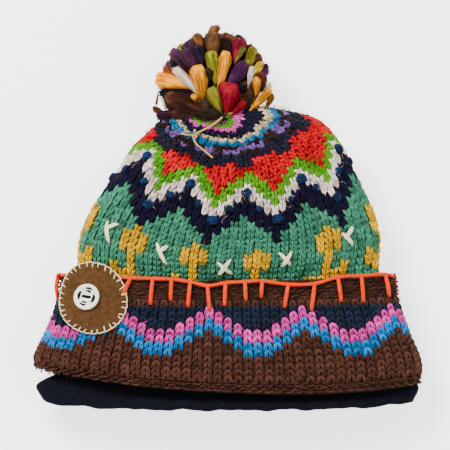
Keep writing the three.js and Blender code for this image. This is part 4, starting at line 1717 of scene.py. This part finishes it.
@dataclass
class Pompom:
    """The pompom: brushed locks of many wools that fan out from the tied root."""

    # Middle, half size and root of the ball, in mm.
    middle: tuple = (-10.0, 112.0, 27.0)
    half: tuple = (45.0, 36.0, 27.0)
    root: tuple = (-4.0, 74.0, 50.0)
    low_mm: float = 3.4
    back_locks: int = 54
    back_widths_mm: tuple = (11, 17)
    hairs: int = 22
    hairs_per_mm: int = 3
    hair_radius_mm: float = 0.32
    palette: tuple = (
        "#4A2C20",
        "#331C2A",
        "#6B4020",
        "#2A1816",
        "#432038",
        "#6E6A24",
        "#141316",
        "#8A232E",
        "#5A3422",
        "#D8962A",
    )
    locks: Strands = field(default_factory=lambda: Strands("pompom_locks", 10))
    hair: Strands = field(default_factory=lambda: Strands("pompom_hairs", 3))
    colours: list[str] = field(default_factory=list)

    def crest(self, x: float, y: float) -> float:
        """Find how high the pompom's upper side is at a place.

        Args:
            x: Place across the hat, in mm.
            y: Place along the hat, in mm.

        Returns:
            Height above the table, in mm.
        """
        dx = (x - self.middle[0]) / self.half[0]
        dy = (y - self.middle[1]) / self.half[1]
        ball = self.middle[2] + self.half[2] * math.sqrt(max(1 - (dx * dx + dy * dy) * 0.9, 0.0))
        past = y - self.root[1]
        fall = (0.35 if past < 0 else 0.25) * past + 12 * ((x - self.root[0]) / 45) ** 2
        return max(ball, self.root[2] - fall)

    def lock(
        self, line: Array, width: float, flat: float, colour: str, rng: np.random.Generator
    ) -> None:
        """Add one lock: a soft paddle of wool with loose hairs over it.

        Args:
            line: Base, middle and tip of the lock, in mm.
            width: Its width near the tip, in mm.
            flat: Its thickness as a share of its width.
            colour: The sRGB colour of its wool.
            rng: The random draws.
        """
        if colour not in self.colours:
            self.colours.append(colour)
        number = self.colours.index(colour)
        steps = 10
        path = smooth_path(line, steps)
        t = np.linspace(0, 1, steps)
        # A lock swells from its root to near its tip, which is blunt.
        profile = 0.2 + 0.8 * np.sin(np.clip(t * 1.18, 0, 1) * math.pi / 2) ** 1.1
        profile[-1] *= 0.74
        face = unit(path[steps // 2] - np.array(self.middle))
        tone = rng.uniform(-0.1, 0.1)
        radii = profile * width / 2
        self.locks.add(path[None] * MM, radii * MM * 0.93, number, tone, flat, face[None])
        self.comb(path, radii, flat, face, self.hairs + int(width * self.hairs_per_mm), number, rng)

    def comb(
        self,
        path: Array,
        radii: Array,
        flat: float,
        face: Array,
        count: int,
        number: int,
        rng: np.random.Generator,
    ) -> None:
        """Comb loose hairs over a lock.

        Args:
            path: The lock's middle line, in mm.
            radii: Its radii along the line, in mm.
            flat: Its thickness as a share of its width.
            face: The direction that its flat side faces.
            count: How many hairs there are.
            number: Its material's number.
            rng: The random draws.
        """
        along = unit(path[-1] - path[0])
        side = unit(np.cross(along, face))
        t = np.linspace(0, 1, len(path))
        paths, tints = [], []
        for _ in range(count):
            angle = rng.uniform(0, math.tau)
            reach = rng.uniform(0.8, 1.03)
            start = rng.uniform(0.0, 0.6)
            twist = rng.uniform(-0.8, 0.8)
            s = np.linspace(start, reach, 6)
            place = np.stack([np.interp(s, t, path[:, k]) for k in range(3)], axis=1)
            past_tip = np.clip(s - 1, 0, None) * np.linalg.norm(path[-1] - path[0])
            place += np.outer(past_tip, along)
            size = np.interp(s, t, radii) * rng.uniform(0.92, 1.06)
            spin = angle + twist * (s - start)
            place += np.outer(np.cos(spin) * size, side)
            place += np.outer(np.sin(spin) * size * flat, face)
            place[2:-1] += rng.normal(0, 0.16, (3, 3))
            place[-1] += rng.normal(0, 0.4, 3) + along * rng.uniform(0, 0.6)
            place[:, 2] = np.maximum(place[:, 2], 0.5)
            paths.append(place)
            tints.append(rng.uniform(-0.5, 0.5))
        thin = taper(6, 0.45, 0.7) * self.hair_radius_mm * MM
        self.hair.add(np.array(paths) * MM, thin, number, np.array(tints))

    def back(self, rng: np.random.Generator) -> None:
        """Add the locks round the core, evenly spread by the golden angle.

        Args:
            rng: The random draws.
        """
        centre, half = np.array(self.middle), np.array(self.half)
        golden = math.pi * (3 - math.sqrt(5))
        for i in range(self.back_locks):
            up = 0.72 - 1.6 * (i + 0.5) / self.back_locks
            spin = i * golden
            level = math.sqrt(1 - up * up)
            away = np.array([level * math.cos(spin), level * math.sin(spin), up])
            tip = centre + away * half * rng.uniform(0.8, 0.92)
            tip[2] = max(tip[2], 3.0)
            base = centre * (0.62, 1, 1) + (0, -20, 6)
            middle = centre + away * half * 0.62 + (0, -3, 3)
            middle[2] = max(middle[2], 5.5)
            colour = self.palette[int(rng.integers(len(self.palette)))]
            width = rng.uniform(*self.back_widths_mm)
            self.lock(np.array([base, middle, tip]), width, 0.7, colour, rng)

    def front(self, rng: np.random.Generator) -> None:
        """Add the locks that show from the front, each over the ones before it.

        Args:
            rng: The random draws.
        """
        for order, (bx, by, tx, ty, width, colour) in enumerate(FRONT_LOCKS):
            above = 3.5 * (order / len(FRONT_LOCKS) - 0.5)
            by -= self.low_mm if by < 90 else 0.0
            base = np.array([bx, by, self.crest(bx, by) - 0.42 * width + above - 1.0])
            tip = np.array([tx, ty, max(self.crest(tx, ty) - 0.25 * width + above, 8.0)])
            middle = (base + tip) / 2
            crest = self.crest(middle[0], middle[1]) - 0.2 * width + above
            middle[2] = max(crest, (base[2] + tip[2]) / 2 + 1.5)
            self.lock(np.array([base, middle, tip]), width, 0.6, colour, rng)

    def wool(self, colour: str) -> bpy.types.Material:
        """Comb out a wool: many fine parallel fibres and no ply, so it looks silky and streaked.

        Args:
            colour: Its sRGB colour.

        Returns:
            Its material.
        """
        finish = SpunWool(
            f"brushed_wool_{colour[1:].lower()}",
            colour,
            ply_mm=30.0,
            plies=5.0,
            fibre_mm=9.0,
            fibres=13.0,
            dye_mm=7.0,
            depth=1.0,
            unevenness=0.45,
            roughness=0.85,
            sheen=0.1,
            relief=0.9,
        )
        return DYES.get(finish)

    def build(self) -> None:
        """Build the locks and their hairs, and dress them."""
        rng = np.random.default_rng(SEED + 3)
        self.back(rng)
        self.front(rng)
        wools = [self.wool(colour) for colour in self.colours]
        dress(self.locks.build(wools), "pompom_wool", "pompom")
        dress(self.hair.build(wools), "pompom_wool", "pompom")


# The twine's middle line from the root of the pompom over its knot to its loose end, in the hat's
# own frame, in mm.
TWINE_POINTS = np.array(
    [
        [-4.2, 211.3, 52.2],
        [-6.9, 208.7, 52.7],
        [-9.8, 206.2, 53.3],
        [-13.0, 203.8, 53.8],
        [-16.6, 201.8, 54.0],
        [-20.3, 200.0, 53.9],
        [-23.4, 198.2, 53.7],
        [-25.0, 195.9, 53.7],
        [-25.3, 193.3, 54.1],
        [-24.4, 190.8, 54.6],
        [-22.7, 188.6, 55.2],
        [-20.5, 186.6, 55.8],
        [-18.2, 184.7, 56.3],
        [-16.0, 182.7, 56.7],
        [-13.8, 180.6, 57.0],
        [-11.6, 178.5, 57.3],
    ]
)


@dataclass
class Twine:
    """The loose twine at the root of the pompom, with its knot and its short tail."""

    diameter: float = 1.5 * MM
    knot_at: int = 7
    # Laid jute twine: golden, dull, with coarse plies that show as slanted ridges.
    finish: SpunWool = SpunWool("jute_twine", "#D9A868", 2.4, 3.0, depth=0.8, unevenness=0.3)

    def build(self) -> None:
        path = smooth_path((TWINE_POINTS + (0, SHIFT_MM, 0)) * MM, 48)
        main = Strands("root_twine_cord", 8)
        main.add(path[None], self.diameter / 2, 0)
        cord = main.build([DYES.get(self.finish)])
        knot = Strands("root_twine_knot", 6)
        centre = (TWINE_POINTS[self.knot_at] + (0.2, SHIFT_MM, 0.6)) * MM
        t = np.linspace(0, 1, 30)
        angle = math.tau * 2.2 * t
        x, y = np.cos(angle) * 1.5, np.sin(angle) * 1.2 + 2.2 * (t - 0.5)
        loop = np.stack([x, y, 0.3 + 0.8 * np.sin(angle * 1.5)], axis=1)
        knot.add((centre + loop * MM)[None], taper(30, 0.6) * 0.62 * MM, 0)
        tail = [[0, 0, 0.4], [-3.5, 1.2, -0.1], [-7.2, 1.6, -1.2], [-10.4, 3.0, -2.6]]
        knot.add(smooth_path(np.array(tail) * MM + centre, 12)[None], 0.6 * MM, 0)
        tie = knot.build([DYES.get(self.finish)])
        dress(cord, "twine", "root_twine")
        dress(tie, "twine")


@dataclass
class Patch:
    """The felt patch on the cuff, with its sewn edge."""

    radius_mm: float = 26.5
    from_fold_mm: float = 67.0
    from_middle_mm: float = -102.0
    stitches: int = 32
    thread_radius_mm: float = 0.5
    # Shares of the radius and heights in mm, from the felt's middle over its cut edge.
    profile: tuple = (
        (0.02, 1.9),
        (0.3, 1.95),
        (0.6, 1.9),
        (0.85, 1.9),
        (0.95, 1.75),
        (0.99, 1.3),
        (1.0, 0.8),
        (0.98, 0.3),
    )
    # Pressed wool felt: dull brown with paler fibres that lie in all directions.
    felt: PressedFibre = PressedFibre("wool_felt", "#38230F", "#573A1E", 0.9, 4.0, 0.35)
    # Cotton embroidery thread: pale, close-laid and nearly even.
    thread: SpunWool = SpunWool(
        "cotton_thread", Yarn.THREAD.value, 1.2, depth=0.88, unevenness=0.15
    )

    def place(self, across: Array, up: Array, height: Array) -> Array:
        """Lay places on the patch over the cuff.

        Args:
            across: How far right of the patch's middle, in mm.
            up: How far above it, in mm.
            height: How far out from the knit, in mm.

        Returns:
            The points in metres.
        """
        at = (self.from_fold_mm + up) / CUFF_SIZE[1]
        aside = self.from_middle_mm + across
        points = []
        for row, distance, lift in zip(np.ravel(at), np.ravel(aside), np.ravel(height)):
            share = distance * MM / CUFF.arc(row)[-1]
            point, out, _ = CUFF.at_shares([row], [share])
            points.append(point[0] + out[0] * lift * MM)
        return np.array(points).reshape(*np.shape(across), 3)

    def disc(self) -> bpy.types.Object:
        """Model the felt as a thick disc with a soft cut edge.

        Returns:
            The disc.
        """
        spokes, angle = 96, np.arange(96) / 96 * math.tau
        wobble = 1 + 0.008 * np.sin(3 * angle + 1) + 0.006 * np.sin(7 * angle)
        rings = []
        for share, height in self.profile:
            reach = self.radius_mm * share * wobble
            level = np.full(spokes, height)
            rings.append(self.place(reach * np.cos(angle), reach * np.sin(angle), level))
        verts = np.concatenate(rings)
        faces = [tuple(range(spokes))]
        for i in range(len(rings) - 1):
            for k in range(spokes):
                n = (k + 1) % spokes
                here, there = i * spokes, (i + 1) * spokes
                faces.append((here + k, there + k, there + n, here + n))
        faces.append(tuple((len(rings) - 1) * spokes + k for k in reversed(range(spokes))))
        return mesh_object("patch_felt", verts, faces, [DYES.get(self.felt)])

    def edge(self) -> bpy.types.Object:
        """Sew the edge: one thread round it, and short stitches that point inwards.

        Returns:
            The thread.
        """
        rng = np.random.default_rng(SEED + 4)
        strands = Strands("patch_thread", 6)
        angle = np.linspace(0, math.tau, 161)
        reach = self.radius_mm * (1.005 + 0.006 * np.sin(angle * self.stitches))
        ring = self.place(reach * np.cos(angle), reach * np.sin(angle), np.full(161, 1.2))
        strands.add(ring[None], self.thread_radius_mm * MM, 0)
        for k in range(self.stitches):
            turn = (k + rng.uniform(-0.15, 0.15)) / self.stitches * math.tau
            slant = rng.uniform(-0.06, 0.06)
            inner = self.radius_mm - rng.uniform(2.6, 4.4)
            reach = np.linspace(self.radius_mm * 1.01, inner, 6)
            turns = turn + slant * np.linspace(0, 1, 6)
            height = np.array([1.3, 2.2, 2.5, 2.5, 2.3, 1.6])
            width = np.linspace(0.68, 0.4, 6) * MM
            line = self.place(reach * np.cos(turns), reach * np.sin(turns), height)
            strands.add(line[None], width, 0)
        return strands.build([DYES.get(self.thread)])

    def build(self) -> None:
        """Build the patch and dress it."""
        dress(self.disc(), "felt", "felt_patch")
        dress(self.edge(), "felt")


@dataclass
class Button:
    """The sew-through button: a rimmed disc with two holes, dark arcs and its thread."""

    radius_mm: float = 10.0
    thickness_mm: float = 3.0
    hole_radius_mm: float = 1.3
    hole_spacing_mm: float = 5.0
    from_fold_mm: float = 69.0
    from_middle_mm: float = -105.5
    seat_mm: float = 2.2
    # Dark arcs in the face: middle angle in degrees, radius, span in degrees and half width in mm.
    arcs: tuple = (
        (84, 6.6, 58, 0.85),
        (80, 4.5, 66, 0.8),
        (262, 4.3, 70, 0.8),
        (258, 6.4, 58, 0.85),
        (176, 5.9, 70, 1.3),
        (-6, 5.9, 70, 1.3),
    )
    sides: int = 64
    floor_share: float = 0.78
    thread_radius_mm: float = 0.5
    thread_places_mm: tuple = (-0.6, 0.0, 0.6)
    # Cast polyester resin, tumbled smooth: warm white with a soft highlight on its rim.
    resin: CastResin = CastResin("cast_resin", "#F6F3E2", "#EDE8D2")
    # Resin dyed black and left matt, so that the arcs read as plain dark lines.
    ink: CastResin = CastResin("dark_resin", "#0C0908", "#15100D", 0.8, 1.2)
    # Black sewing thread, waxed and tight: dark and even.
    thread: SpunWool = SpunWool("black_thread", "#121214", 1.0, unevenness=0.3)

    def axes(self) -> tuple[Array, Array, Array, Array]:
        """Find how the button lies on the cuff.

        Returns:
            Its seat, and its directions across, up the cuff and outwards.
        """
        row = self.from_fold_mm / CUFF_SIZE[1]
        share = self.from_middle_mm * MM / CUFF.arc(row)[-1]
        point, out, along = CUFF.at_shares([row], [share])
        across = np.cross(along[0], out[0])
        return point[0] + out[0] * self.seat_mm * MM, across, along[0], out[0]

    def body(self) -> bpy.types.Object:
        """Turn the disc with its rim and cut its holes.

        Returns:
            The button in its own frame, in mm.
        """
        r, h = self.radius_mm, self.thickness_mm
        profile = [(0, 0), (r * 0.86, 0), (r * 0.97, h * 0.2), (r, h * 0.5), (r * 0.985, h * 0.78)]
        profile += [(r * 0.94, h * 0.96), (r * 0.89, h), (r * 0.83, h * 0.93), (r * 0.76, h * 0.8)]
        profile += [(0, h * 0.76)]
        turn = [k / self.sides * math.tau for k in range(self.sides)]
        shape = bmesh.new()
        rings = []
        for radius, height in profile:
            if radius == 0:
                rings.append([shape.verts.new((0, 0, height))])
                continue
            places = [(radius * math.cos(a), radius * math.sin(a), height) for a in turn]
            rings.append([shape.verts.new(place) for place in places])
        for previous, ring in zip(rings, rings[1:]):
            for k in range(self.sides):
                n = (k + 1) % self.sides
                if len(previous) == 1:
                    shape.faces.new((previous[0], ring[n], ring[k]))
                elif len(ring) == 1:
                    shape.faces.new((previous[k], previous[n], ring[0]))
                else:
                    shape.faces.new((previous[k], previous[n], ring[n], ring[k]))
        bmesh.ops.recalc_face_normals(shape, faces=shape.faces)
        mesh = bpy.data.meshes.new("button_body")
        shape.to_mesh(mesh)
        shape.free()
        obj = link_object("button_body", mesh)
        for x in (-self.hole_spacing_mm / 2, self.hole_spacing_mm / 2):
            bpy.ops.mesh.primitive_cylinder_add(
                vertices=24, radius=self.hole_radius_mm, depth=20, location=(x, 0, 0)
            )
            drill = bpy.context.active_object
            cut = obj.modifiers.new("hole", "BOOLEAN")
            cut.object = drill
            cut.operation = "DIFFERENCE"
            graph = bpy.context.evaluated_depsgraph_get()
            made = bpy.data.meshes.new_from_object(obj.evaluated_get(graph))
            obj.modifiers.remove(cut)
            obj.data = made
            bpy.data.objects.remove(drill)
        obj.data.materials.clear()
        obj.data.materials.append(DYES.get(self.resin))
        return obj

    def seat(self, obj: bpy.types.Object) -> None:
        """Move a mesh from the button's own frame to its place on the patch.

        Args:
            obj: The mesh's object, in mm.
        """
        origin, across, up, out = self.axes()
        count = len(obj.data.vertices)
        local = np.empty(count * 3)
        obj.data.vertices.foreach_get("co", local)
        x, y, z = (local.reshape(-1, 3) * MM).T
        world = origin + np.outer(x, across) + np.outer(y, up) + np.outer(z, out)
        obj.data.vertices.foreach_set("co", world.ravel())
        obj.data.update()

    def build(self) -> None:
        """Build the button with its arcs and thread, and dress them."""
        body = self.body()
        self.seat(body)
        for polygon in body.data.polygons:
            polygon.use_smooth = True
        body.data.set_sharp_from_angle(angle=math.radians(35))
        dress(body, "button_resin", "button")
        arcs = Strands("button_arcs", 6)
        floor = self.thickness_mm * self.floor_share
        for middle, reach, span, bold in self.arcs:
            turn = np.radians(np.linspace(middle - span / 2, middle + span / 2, 12))
            level = np.full(12, floor + 0.12)
            line = np.stack([reach * np.cos(turn), reach * np.sin(turn), level], axis=1)
            arcs.add(line[None], taper(12, 0.15, 0.7) * bold, 0, 0.0, 0.4, np.array([[0, 0, 1.0]]))
        inlay = arcs.build([DYES.get(self.ink)])
        self.seat(inlay)
        dress(inlay, "button_resin")
        thread = Strands("button_thread", 6)
        for shift in self.thread_places_mm:
            x = np.linspace(-self.hole_spacing_mm / 2, self.hole_spacing_mm / 2, 9)
            z = floor - 1.4 + 1.9 * np.sin(np.linspace(0.02, math.pi - 0.02, 9)) ** 0.35
            line = np.stack([x, np.full(9, shift), z], axis=1)
            thread.add(line[None], self.thread_radius_mm, 0)
        bar = thread.build([DYES.get(self.thread)])
        self.seat(bar)
        dress(bar, "button_resin")


@dataclass
class Studio:
    """The plain table, the soft light and the camera above the hat."""

    elevation: float = math.radians(76)
    distance: float = 6.0
    target: tuple = (-0.00225, -0.005, 0.03)
    frame_width: float = 0.3375
    sensor_mm: float = 36.0
    table_reach: float = 3.0
    # Place, size in metres and power in watts of each light.
    lights: tuple = (
        ("key", (-0.9, 0.9, 1.5), 0.8, 62.0),
        ("fill", (1.2, -0.8, 1.3), 1.4, 15.0),
    )

    def camera(self) -> None:
        """Put the camera above the hat and a little in front of it."""
        data = bpy.data.cameras.new("camera")
        data.sensor_width = self.sensor_mm
        data.lens = data.sensor_width * self.distance / self.frame_width
        camera = link_object("camera", data)
        away = Vector((0.0, -math.cos(self.elevation), math.sin(self.elevation)))
        camera.location = Vector(self.target) + away * self.distance
        camera.rotation_euler = away.to_track_quat("Z", "Y").to_euler()
        bpy.context.scene.camera = camera

    def table(self) -> None:
        """Lay the white table top, lit a little from below as a light table is."""
        # Opal acrylic sheet, fine-matt: plain white, with soft shadows and no mirror image.
        material, tree = new_material("white_acrylic_sheet")
        add = partial(add_node, tree)
        place = add("ShaderNodeTexCoord").outputs["Object"]
        grain = add("ShaderNodeTexNoise", {"Vector": place, "Scale": 400.0, "Detail": 2.0})
        bump = add(
            "ShaderNodeBump", {"Height": grain.outputs[0], "Strength": 0.05, "Distance": 0.1 * MM}
        )
        surface = add(
            "ShaderNodeBsdfPrincipled",
            {
                "Base Color": linear("#FCFCFB"),
                "Roughness": 0.7,
                "Normal": bump.outputs[0],
                "Emission Color": linear(WHITE_LIGHT),
                "Emission Strength": 2.0,
            },
        )
        add("ShaderNodeOutputMaterial", {0: surface.outputs[0]})
        reach = self.table_reach
        corners = [(-reach, -reach, 0), (reach, -reach, 0), (reach, reach, 0), (-reach, reach, 0)]
        mesh_object("table_top", np.array(corners), [(0, 1, 2, 3)], [material])

    def light(self, name: str, place: tuple, size: float, power: float) -> None:
        """Hang one soft light that faces the hat.

        Args:
            name: Its name.
            place: Where it hangs.
            size: Its width in metres.
            power: Its power in watts.
        """
        data = bpy.data.lights.new(name, "AREA")
        data.shape = "DISK"
        data.size = size
        data.energy = power
        lamp = link_object(name, data)
        lamp.location = place
        lamp.rotation_euler = Vector(place).to_track_quat("Z", "Y").to_euler()

    def build(self) -> None:
        """Build the table and the lights."""
        self.table()
        for light in self.lights:
            self.light(*light)
        world = bpy.data.worlds.new("studio_air")
        world.use_nodes = True
        background = world.node_tree.nodes["Background"]
        background.inputs[0].default_value = linear(WHITE_LIGHT)
        background.inputs[1].default_value = 1.0
        bpy.context.scene.world = world


def main() -> None:
    """Build the hat piece by piece."""
    logging.basicConfig(level=logging.INFO, format="%(name)s: %(message)s")
    studio = Studio()
    studio.camera()
    Twine().build()
    stitches = StitchMaker()
    Crown(stitches).build()
    Cuff(stitches).build()
    Lining().build()
    Fuzz().build()
    Embroidery().build()
    Patch().build()
    Button().build()
    Pompom().build()
    studio.build()
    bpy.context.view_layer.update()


if __name__ == "__main__":
    main()
